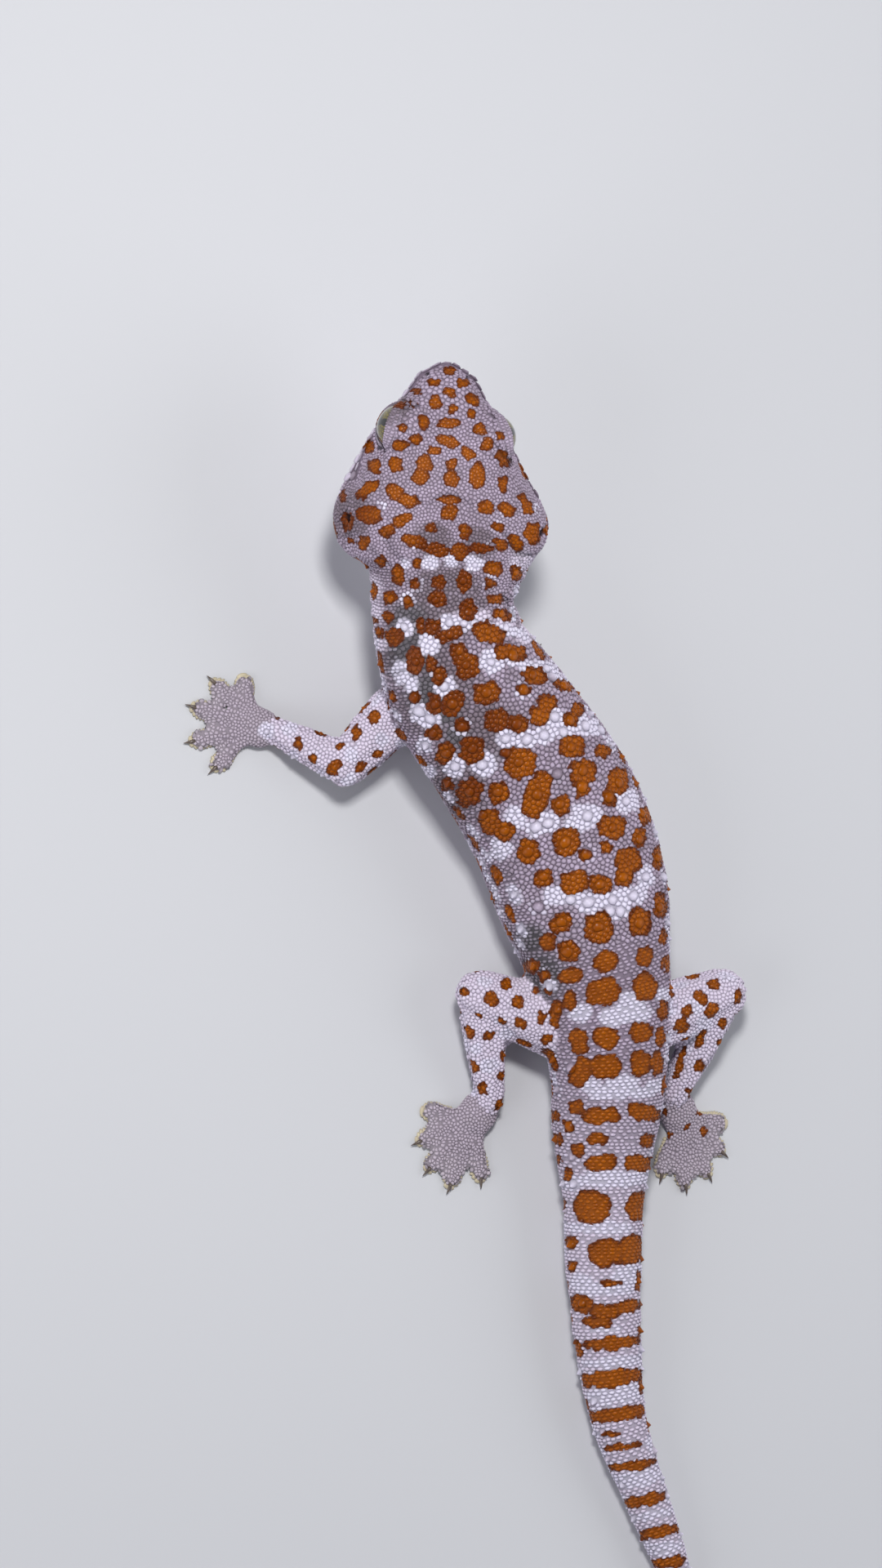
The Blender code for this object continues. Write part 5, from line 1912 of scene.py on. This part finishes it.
COAT_REGIONS = {
    "scales_head": ("head",),
    "scales_throat": ("lower_jaw", "neck"),
    "scales_chest": ("chest",),
    "scales_belly": ("belly", "pelvis"),
    "scales_tail": AXIAL_NODES[6:],
    "scales_forelegs": LEGS[0].nodes[:2] + LEGS[1].nodes[:2],
    "scales_hindlegs": LEGS[2].nodes[:2] + LEGS[3].nodes[:2],
    "scales_hands": FEET[:2],
    "scales_feet": FEET[2:],
}
coat = []
for name, names in COAT_REGIONS.items():
    own = is_part(seed_parts, names)
    coat.append(print_scales(name, names, np.flatnonzero(own & (seed_kinds != 1)), granule_mould))
on_body = is_part(seed_parts, AXIAL_NODES) & (seed_kinds == 1)
for name, own, mould in (("tubercles_body", on_body & (seed_spiny < 0.5), tubercle_mould),
                         ("spines_body", on_body & (seed_spiny >= 0.5), spine_mould)):
    coat.append(print_scales(name, AXIAL_NODES, np.flatnonzero(own), mould))
own = is_part(seed_parts, LEG_NODES) & (seed_kinds == 1)
leg_parts = tuple(name for name in LEG_NODES if (own & is_part(seed_parts, (name,))).any())
coat.append(print_scales("spines_legs", leg_parts, np.flatnonzero(own), spine_mould))

# %% [markdown]
# ## One shader for the markings and the painted light
#
# Skin and scales share a node group. It reads the numbers on the mesh and puts out the colour, the
# roughness and a fine grain. Its colour also holds painted light: the feet of the scales and the
# skin between them are darkened as painted shade, the tops of the beads are lightened as a painted
# highlight, and hollows, creases and a few listed patches get painted shade too.

# %% The node group of markings, painted shade and painted highlights
def linear(red, green, blue):
    """A colour as a shader wants it, from the three numbers that a picture program shows."""
    values = [value / 255 for value in (red, green, blue)]
    return tuple(v / 12.92 if v <= 0.04045 else ((v + 0.055) / 1.055) ** 2.4 for v in values)


GROUND_DARK = linear(126, 110, 122)
GROUND_LIGHT = linear(212, 190, 218)
GROUND_OLIVE = linear(136, 126, 132)
# the grey of stretched, smooth skin, made darker to carry painted shade on the left of the neck
SMOOTH_GROUND_AND_SHADE = linear(98, 92, 98)
# painted highlight: the pale tint that the tops of the beads are lightened towards
BEAD_TIP_PAINTED_HIGHLIGHT = linear(222, 208, 230)
ORANGE_DARK = linear(122, 54, 0)
ORANGE_LIGHT = linear(188, 100, 0)
ORANGE_RIM = linear(92, 36, 4)
WHITE_PATCH = linear(236, 229, 248)
PALE_SKIN = linear(230, 217, 236)
TOE_SKIN = linear(198, 186, 196)
# painted shade: the near-black that hollows and creases are mixed towards
HOLLOW_PAINTED_SHADE = linear(26, 20, 28)
# painted shade: how dark the feet of the scales and the skin between them become
CREVICE_PAINTED_SHADE = 0.46
MOTTLE_SCALE = 150
GRAIN_SCALE = 2600


def new_node(tree, kind, at, **settings):
    node = tree.nodes.new(kind)
    node.location = at
    for key, value in settings.items():
        setattr(node, key, value)
    return node


def wire(tree, source, target):
    tree.links.new(source, target)


def read_number(tree, name, at):
    return new_node(tree, "ShaderNodeAttribute", at, attribute_name=name).outputs["Fac"]


def mixed(tree, share, first, second, at, blend="MIX"):
    """A colour mix; each of the three may be a socket or a plain value."""
    node = new_node(tree, "ShaderNodeMix", at, data_type="RGBA", blend_type=blend)
    for socket, value in zip((node.inputs[0], node.inputs[6], node.inputs[7]), (share, first, second)):
        if isinstance(value, bpy.types.NodeSocket):
            wire(tree, value, socket)
        elif isinstance(value, tuple):
            socket.default_value = (*value, 1)
        else:
            socket.default_value = value
    return node.outputs[2]


def math_node(tree, operation, first, second, at):
    """A math node on two sockets or numbers."""
    node = new_node(tree, "ShaderNodeMath", at, operation=operation)
    for socket, value in zip(node.inputs, (first, second)):
        if isinstance(value, bpy.types.NodeSocket):
            wire(tree, value, socket)
        else:
            socket.default_value = value
    return node.outputs[0]


def noise(tree, coordinates, scale, detail, at):
    node = new_node(tree, "ShaderNodeTexNoise", at)
    node.inputs["Scale"].default_value = scale
    node.inputs["Detail"].default_value = detail
    wire(tree, coordinates, node.inputs["Vector"])
    return node.outputs["Fac"]


def make_markings_group():
    tree = bpy.data.node_groups.new("markings", "ShaderNodeTree")
    tree.interface.new_socket("Shade", in_out="INPUT", socket_type="NodeSocketFloat")
    tree.interface.new_socket("Color", in_out="OUTPUT", socket_type="NodeSocketColor")
    tree.interface.new_socket("Roughness", in_out="OUTPUT", socket_type="NodeSocketFloat")
    tree.interface.new_socket("Height", in_out="OUTPUT", socket_type="NodeSocketFloat")
    given = new_node(tree, "NodeGroupInput", (-1200, 200))
    out = new_node(tree, "NodeGroupOutput", (1200, 0))
    place = new_node(tree, "ShaderNodeTexCoord", (-1200, -200)).outputs["Object"]
    mottle = noise(tree, place, MOTTLE_SCALE, 2.0, (-1000, 300))
    broad = noise(tree, place, MOTTLE_SCALE / 4, 1.0, (-1000, 0))
    grain = noise(tree, place, GRAIN_SCALE, 2.0, (-1000, -300))
    tone = read_number(tree, "tone", (-1000, 500))
    rise = read_number(tree, "rise", (-1000, -500))
    lightness = math_node(tree, "ADD", math_node(tree, "MULTIPLY", tone, 0.45, (-800, 500)),
                          math_node(tree, "MULTIPLY", mottle, 0.5, (-800, 300)), (-600, 400))
    # Painted shade: in the listed patches the lightness drops, which darkens the ground and the spots.
    shade_patch = math_node(tree, "MULTIPLY", read_number(tree, "shade_patch", (-1000, 700)), 0.46, (-800, 700))
    lightness = math_node(tree, "SUBTRACT", lightness, shade_patch, (-500, 500))
    ground = mixed(tree, lightness, GROUND_DARK, GROUND_LIGHT, (-400, 400))
    olive = math_node(tree, "MULTIPLY", broad, 0.45, (-600, 100))
    ground = mixed(tree, olive, ground, GROUND_OLIVE, (-200, 400))
    # Stretched skin turns smooth grey, partly its own colour and partly painted shade.
    ground = mixed(tree, read_number(tree, "smooth", (-300, 800)), ground, SMOOTH_GROUND_AND_SHADE, (-100, 600))
    # Painted highlight: the tops of the beads are lightened towards a pale tint, more where the tone is light.
    tip = math_node(tree, "MULTIPLY", math_node(tree, "POWER", rise, 3.0, (-300, 200)), lightness,
                    (-150, 200))
    ground = mixed(tree, math_node(tree, "MULTIPLY", tip, 0.55, (-100, 300)), ground, BEAD_TIP_PAINTED_HIGHLIGHT, (-50, 500))
    orange = mixed(tree, lightness, ORANGE_DARK, ORANGE_LIGHT, (-400, 0))
    orange = mixed(tree, read_number(tree, "deep", (-400, -150)), ORANGE_RIM, orange, (-200, 0))
    in_spot = new_node(tree, "ShaderNodeMapRange", (300, 800), interpolation_type="SMOOTHSTEP")
    in_spot.inputs["From Min"].default_value = 0.25
    in_spot.inputs["From Max"].default_value = 0.75
    wire(tree, read_number(tree, "orange", (100, 800)), in_spot.inputs["Value"])
    in_spot = in_spot.outputs["Result"]
    colour = mixed(tree, read_number(tree, "pale", (-400, 600)), ground, PALE_SKIN, (0, 400))
    colour = mixed(tree, read_number(tree, "toe", (-200, 700)), colour, TOE_SKIN, (200, 400))
    colour = mixed(tree, read_number(tree, "white", (0, 700)), colour, WHITE_PATCH, (400, 400))
    colour = mixed(tree, in_spot, colour, orange, (600, 400))
    # Painted shade: the lower part of each scale and the skin between the scales are darkened, less inside the
    # spots.
    painted_shade_share = math_node(tree, "SUBTRACT", 1.0, math_node(tree, "MULTIPLY", in_spot, 0.4, (500, 700)),
                           (600, 700))
    depth = math_node(tree, "MULTIPLY", math_node(tree, "SUBTRACT", 1.0, rise, (0, -300)),
                      given.outputs["Shade"], (200, -300))
    depth = math_node(tree, "MULTIPLY", depth, painted_shade_share, (400, -300))
    shaded = mixed(tree, depth, colour, (CREVICE_PAINTED_SHADE, CREVICE_PAINTED_SHADE, CREVICE_PAINTED_SHADE), (800, 400),
                   "MULTIPLY")
    speck = mixed(tree, 0.22, shaded, grain, (900, 200), "OVERLAY")
    # Painted shade in hollows: the mouth line, the nostrils, the ears, the creases and the skin under the lids
    # go dark.
    final = mixed(tree, read_number(tree, "hollow", (800, 700)), speck, HOLLOW_PAINTED_SHADE, (1000, 300))
    rough = math_node(tree, "ADD", 0.24, math_node(tree, "MULTIPLY", grain, 0.18, (600, -200)), (800, -200))
    wire(tree, final, out.inputs["Color"])
    wire(tree, rough, out.inputs["Roughness"])
    wire(tree, grain, out.inputs["Height"])
    return tree


markings_group = make_markings_group()


def marked_material(name, shade, extra_rough, bump_strength):
    """A glossy, horny finish that carries the markings, the painted shade and the painted highlights."""
    material = bpy.data.materials.new(name)
    material.use_nodes = True
    tree = material.node_tree
    shader = tree.nodes["Principled BSDF"]
    group = new_node(tree, "ShaderNodeGroup", (-500, 0), node_tree=markings_group)
    group.inputs["Shade"].default_value = shade
    bump = new_node(tree, "ShaderNodeBump", (-250, -250))
    bump.inputs["Strength"].default_value = bump_strength
    bump.inputs["Distance"].default_value = 0.05 * MM
    wire(tree, group.outputs["Color"], shader.inputs["Base Color"])
    rough = math_node(tree, "ADD", group.outputs["Roughness"], extra_rough, (-250, 0))
    wire(tree, rough, shader.inputs["Roughness"])
    wire(tree, group.outputs["Height"], bump.inputs["Height"])
    wire(tree, bump.outputs["Normal"], shader.inputs["Normal"])
    shader.inputs["Specular IOR Level"].default_value = 0.2
    return material


scale_finish = marked_material("scales", 0.9, 0.0, 0.25)
skin_finish = marked_material("skin", 1.0, 0.25, 0.5)
for piece in coat:
    piece.data.materials.append(scale_finish)

# %% The skin carries the same markings and painted shade
for key, values in skin_markings.items():
    add_numbers(skin_mesh, key, values)
add_numbers(skin_mesh, "tone", 0.5 + 0.3 * ripple(skin_points, 1.2 * MM, 71))
# a low rise, so this skin between the scales takes the painted shade
add_numbers(skin_mesh, "rise", np.full(len(skin_points), 0.15))
# Painted shade: the mouth line, the nostrils, the ears, the creases and the skin pressed in under the lids are
# darkened.
over, mouth = over_mouth_line(skin_points)
skin_hollow_shade = hill(over, 0, 0.3 * MM) * mouth * is_part(skin_parts, ("head", "lower_jaw"))
for places, reach in zip((nostrils, ears), HOLE_REACHES):
    for place in places:
        away = away_from_hole(skin_points, place)
        skin_hollow_shade = np.maximum(skin_hollow_shade, 1 - fade(away, reach * 0.4, reach * 0.9))
skin_hollow_shade = np.maximum.reduce([skin_hollow_shade, 0.8 * creases_at(skin_points)[1], in_an_opening(skin_points)])
add_numbers(skin_mesh, "hollow", skin_hollow_shade)
skin_seen = skin_normals @ np.array(towards_camera) > 0
add_numbers(skin_mesh, "smooth", picture_regions(skin_points, STRETCHED_SKIN) * skin_seen)
skin_mesh.polygons.foreach_set("use_smooth", np.ones(len(skin_mesh.polygons), bool))
skin_mesh.materials.append(skin_finish)
skin = add_piece("skin", skin_mesh)
skin_mesh.calc_loop_triangles()
print("skin triangles:", len(skin_mesh.loop_triangles))

# %% [markdown]
# ## The eyes
#
# The eyeball is large and glassy, with an olive-gold iris and a pupil that closes to an upright
# slit with scalloped edges. The ball is a smooth sphere. Two numbers stored on it, the share of
# the radius along the head and the share up the slit, let the shader draw the iris on either eye.

# %% Make the eyeballs
EYE_SEGMENTS = 64


def make_eye(name, centre, outward, along, up):
    bm = bmesh.new()
    turn = Matrix((along, up, outward)).transposed().to_4x4()
    place = Matrix.Translation(centre) @ turn
    bmesh.ops.create_uvsphere(
        bm, u_segments=EYE_SEGMENTS, v_segments=EYE_SEGMENTS // 2, radius=EYE_RADIUS, matrix=place
    )
    bmesh.ops.recalc_face_normals(bm, faces=bm.faces)
    mesh = bpy.data.meshes.new(name)
    bm.to_mesh(mesh)
    bm.free()
    offset = (read_points(mesh) - np.array(centre)) / EYE_RADIUS
    add_numbers(mesh, "eye_along", offset @ np.array(along))
    add_numbers(mesh, "eye_up", offset @ np.array(up))
    mesh.shade_smooth()
    return add_piece(name, mesh)


def eye_material():
    material = bpy.data.materials.new("eye")
    material.use_nodes = True
    tree = material.node_tree
    shader = tree.nodes["Principled BSDF"]
    along = read_number(tree, "eye_along", (-1400, 200))
    up = read_number(tree, "eye_up", (-1400, 0))
    closing = math_node(tree, "MULTIPLY", up, up, (-1200, 0))
    opening = math_node(tree, "SUBTRACT", 0.60, closing, (-1050, 0))
    waves = math_node(tree, "SINE", math_node(tree, "MULTIPLY", up, 8.5, (-1200, -200)), 0, (-1050, -200))
    waves = math_node(tree, "MULTIPLY", math_node(tree, "ABSOLUTE", waves, 0, (-900, -200)), 0.12, (-750, -200))
    waves = math_node(tree, "ADD", waves, 0.16, (-600, -200))
    half_width = math_node(tree, "MULTIPLY", opening, waves, (-450, -100))
    beyond = math_node(tree, "ABSOLUTE", along, 0, (-600, 200))
    beyond = math_node(tree, "SUBTRACT", beyond, half_width, (-300, 100))
    pupil = new_node(tree, "ShaderNodeMapRange", (-150, 100))
    pupil.inputs["From Min"].default_value = 0.0
    pupil.inputs["From Max"].default_value = 0.015
    wire(tree, beyond, pupil.inputs["Value"])
    place = new_node(tree, "ShaderNodeTexCoord", (-1400, 500)).outputs["Object"]
    veins = new_node(tree, "ShaderNodeTexVoronoi", (-1200, 500), feature="DISTANCE_TO_EDGE")
    veins.inputs["Scale"].default_value = 1500
    wire(tree, place, veins.inputs["Vector"])
    mottle = noise(tree, place, 900, 4.0, (-1200, 700))
    iris = mixed(tree, mottle, linear(74, 64, 18), linear(140, 126, 50), (-900, 600))
    vein_share = math_node(tree, "MULTIPLY", veins.outputs["Distance"], 7.0, (-900, 400))
    vein_share = math_node(tree, "MINIMUM", vein_share, 1.0, (-750, 400))
    iris = mixed(tree, vein_share, linear(44, 34, 14), iris, (-600, 500))
    colour = mixed(tree, pupil.outputs["Result"], linear(6, 5, 6), iris, (0, 300))
    wire(tree, colour, shader.inputs["Base Color"])
    shader.inputs["Roughness"].default_value = 0.10
    shader.inputs["Coat Weight"].default_value = 1.0
    shader.inputs["Coat Roughness"].default_value = 0.03
    return material


eye_finish = eye_material()
eye_pieces = []
for name, (centre, outward, along, up) in zip(("eyeball_left", "eyeball_right"), eyes):
    eye_pieces.append(make_eye(name, centre, outward, along, up))
    eye_pieces[-1].data.materials.append(eye_finish)
print("eyes of", round(2 * EYE_RADIUS / MM, 1), "mm")

# %% [markdown]
# ## The lids
#
# A gecko can't close its eyes. A fleshy lid frames the clear scale that covers the ball. Above, it
# is a broad hood that hides the ball from the top, and below and at the ends it is a narrow rim.
# Each lid is a closed profile, spun round the eye's axis and then stretched, so that it begins and
# ends at the slopes that were set before. Its end dives under the skin.

# %% Make the lids
LID_STEPS = 96
LID_PALE = 0.3


def make_lid(name, eye):
    centre, outward, along, up = eye
    bm = bmesh.new()
    share_layer = bm.verts.layers.float.new("share")
    height_layer = bm.verts.layers.float.new("height")
    ring = []
    for share, height in LID_PROFILE:
        vert = bm.verts.new(lid_place(eye, 0.0, share, height * MM))
        vert[share_layer], vert[height_layer] = share, height * MM
        ring.append(vert)
    edges = [bm.edges.new(pair) for pair in zip(ring, ring[1:] + ring[:1])]
    bmesh.ops.spin(bm, geom=ring + edges, cent=centre, axis=outward, angle=2 * math.pi,
                   steps=LID_STEPS, use_merge=True)
    bmesh.ops.remove_doubles(bm, verts=bm.verts, dist=0.001 * MM)
    for vert in bm.verts:
        offset = vert.co - centre
        turn = math.atan2(offset.dot(along), offset.dot(up))
        vert.co = lid_place(eye, turn, vert[share_layer], vert[height_layer])
    bmesh.ops.recalc_face_normals(bm, faces=bm.faces)
    mesh = bpy.data.meshes.new(name)
    bm.to_mesh(mesh)
    bm.free()
    mesh.shade_smooth()
    points, normals = read_points(mesh), read_points(mesh, "vector")
    markings = markings_at(points, normals, np.full(len(points), NODE_NUMBER["head"]))
    markings["pale"] = np.full(len(points), LID_PALE)
    for key, values in markings.items():
        add_numbers(mesh, key, values)
    add_numbers(mesh, "tone", 0.5 + 0.4 * ripple(points, 1.5 * MM, 81))
    # a low rise, so the lids take some of the painted shade
    add_numbers(mesh, "rise", np.full(len(points), 0.3))
    add_numbers(mesh, "smooth", np.zeros(len(points)))
    shares = np.array([item.value for item in mesh.attributes["share"].data])
    # painted shade where the lid's end dives under the skin
    add_numbers(mesh, "hollow", 0.5 * fade(shares, 0.75, 1.0))
    return add_piece(name, mesh)


lids = []
for name, eye in zip(("lid_left", "lid_right"), eyes):
    lids.append(make_lid(name, eye))
    lids[-1].data.materials.append(skin_finish)
print("lids:", len(lids), "with", len(lids[0].data.vertices), "corners each")

# %% [markdown]
# ## Claws
#
# Four of the five toes end in a small, curved, dark claw. Each starts as a disc and is extruded
# ring by ring along a curve while it shrinks.

# %% Make the claws
CLAW_LENGTH = 2.3 * MM
CLAW_RADIUS = 0.42 * MM
CLAW_DROP = math.radians(42)
CLAW_STEPS = 6
CLAW_SIDES = 8


def add_claw(bm, base, out):
    """One claw, from its base outwards and then down."""
    across = UP.cross(out)
    way = (out + UP * 0.25).normalized()
    turn = Matrix((across, way.cross(across), way)).transposed().to_4x4()
    made = bmesh.ops.create_circle(
        bm, cap_ends=True, segments=CLAW_SIDES, radius=CLAW_RADIUS, matrix=Matrix.Translation(base) @ turn
    )
    face = made["verts"][0].link_faces[0]
    middle = base.copy()
    for step in range(1, CLAW_STEPS + 1):
        share = step / CLAW_STEPS
        face, corners = extrude_face(bm, face, keep=step == 1)
        bend = Matrix.Rotation(CLAW_DROP / CLAW_STEPS, 3, across)
        way = bend @ way
        shift = way * CLAW_LENGTH / CLAW_STEPS
        shrink = (1 - share**1.4 * 0.9) / (1 - ((step - 1) / CLAW_STEPS) ** 1.4 * 0.9)
        bmesh.ops.rotate(bm, verts=corners, cent=middle, matrix=bend)
        bmesh.ops.translate(bm, verts=corners, vec=shift)
        middle += shift
        to_middle = Matrix.Translation(-middle)
        bmesh.ops.scale(bm, verts=corners, vec=(shrink,) * 3, space=to_middle)


def make_claws():
    bm = bmesh.new()
    for toe in TOES:
        if toe.number > 0:
            base = toe.start + toe.out * toe.length * 0.94 + UP * 0.95 * MM
            add_claw(bm, base, toe.out)
    bmesh.ops.recalc_face_normals(bm, faces=bm.faces)
    for vert in bm.verts:
        vert.co.z = max(vert.co.z, 0.03 * MM)
    mesh = bpy.data.meshes.new("claws")
    bm.to_mesh(mesh)
    bm.free()
    mesh.shade_smooth()
    return add_piece("claws", mesh)


def claw_material():
    material = bpy.data.materials.new("claw")
    material.use_nodes = True
    tree = material.node_tree
    shader = tree.nodes["Principled BSDF"]
    place = new_node(tree, "ShaderNodeTexCoord", (-900, 0)).outputs["Object"]
    streak = noise(tree, place, 1400, 3.0, (-700, 0))
    colour = mixed(tree, streak, linear(46, 38, 40), linear(128, 112, 100), (-400, 0))
    wire(tree, colour, shader.inputs["Base Color"])
    shader.inputs["Roughness"].default_value = 0.28
    return material


claws = make_claws()
claws.data.materials.append(claw_material())
print("claws:", len(claws.data.vertices), "corners")

# %% [markdown]
# ## Toe pads
#
# Under each toe a row of thin plates makes the gripping pad. From above only their rounded edges
# show, as a pale, yellowish fringe. Each plate is a flattened ball, as wide as the toe there.

# %% Make the toe pads
PAD_PLATES = 11
PAD_START = 0.36
PAD_END = 0.98
PAD_HALF_LENGTH = 0.62 * MM
PAD_HALF_HEIGHT = 0.28 * MM
TOE_WIDTHS = ((0.32, 1.1), (0.50, 1.4), (0.66, 2.0), (0.88, 2.05), (1.0, 0.9))  # share, half width


def make_pads():
    bm = bmesh.new()
    shares, halves = np.array(TOE_WIDTHS).T
    for toe in TOES:
        across = UP.cross(toe.out)
        for plate in range(PAD_PLATES):
            share = PAD_START + (PAD_END - PAD_START) * plate / (PAD_PLATES - 1)
            half = float(np.interp(share, shares, halves)) * MM + 0.08 * MM
            middle = toe.start + toe.out * toe.length * share + UP * (PAD_HALF_HEIGHT + 0.05 * MM)
            axes = [across * half, toe.out * PAD_HALF_LENGTH, UP * PAD_HALF_HEIGHT]
            turn = Matrix([list(axis) for axis in axes]).transposed().to_4x4()
            bmesh.ops.create_uvsphere(bm, u_segments=14, v_segments=6, radius=1,
                                      matrix=Matrix.Translation(middle) @ turn)
    bmesh.ops.recalc_face_normals(bm, faces=bm.faces)
    mesh = bpy.data.meshes.new("toe_pads")
    bm.to_mesh(mesh)
    bm.free()
    mesh.shade_smooth()
    return add_piece("toe_pads", mesh)


def pad_material():
    material = bpy.data.materials.new("toe_pad")
    material.use_nodes = True
    tree = material.node_tree
    shader = tree.nodes["Principled BSDF"]
    place = new_node(tree, "ShaderNodeTexCoord", (-900, 0)).outputs["Object"]
    mottle = noise(tree, place, 700, 3.0, (-700, 0))
    colour = mixed(tree, mottle, linear(176, 160, 140), linear(214, 204, 168), (-400, 0))
    wire(tree, colour, shader.inputs["Base Color"])
    shader.inputs["Roughness"].default_value = 0.5
    return material


pads = make_pads()
pads.data.materials.append(pad_material())
print("toe pads:", len(pads.data.vertices), "corners")

# %% [markdown]
# ## The pieces on the body
#
# Every piece rides on the one body of a still model. The skin stands for all the flesh, and the
# eyeballs for the plain eyes.

# %% Ride and replace
pieces = coat + [skin, claws, pads] + lids + eye_pieces
for piece in pieces:
    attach(piece, "root")
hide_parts(*FLESH_NODES)
for piece, node in zip(eye_pieces, ("eye_left", "eye_right")):
    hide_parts(node)
print(len(pieces), "pieces")
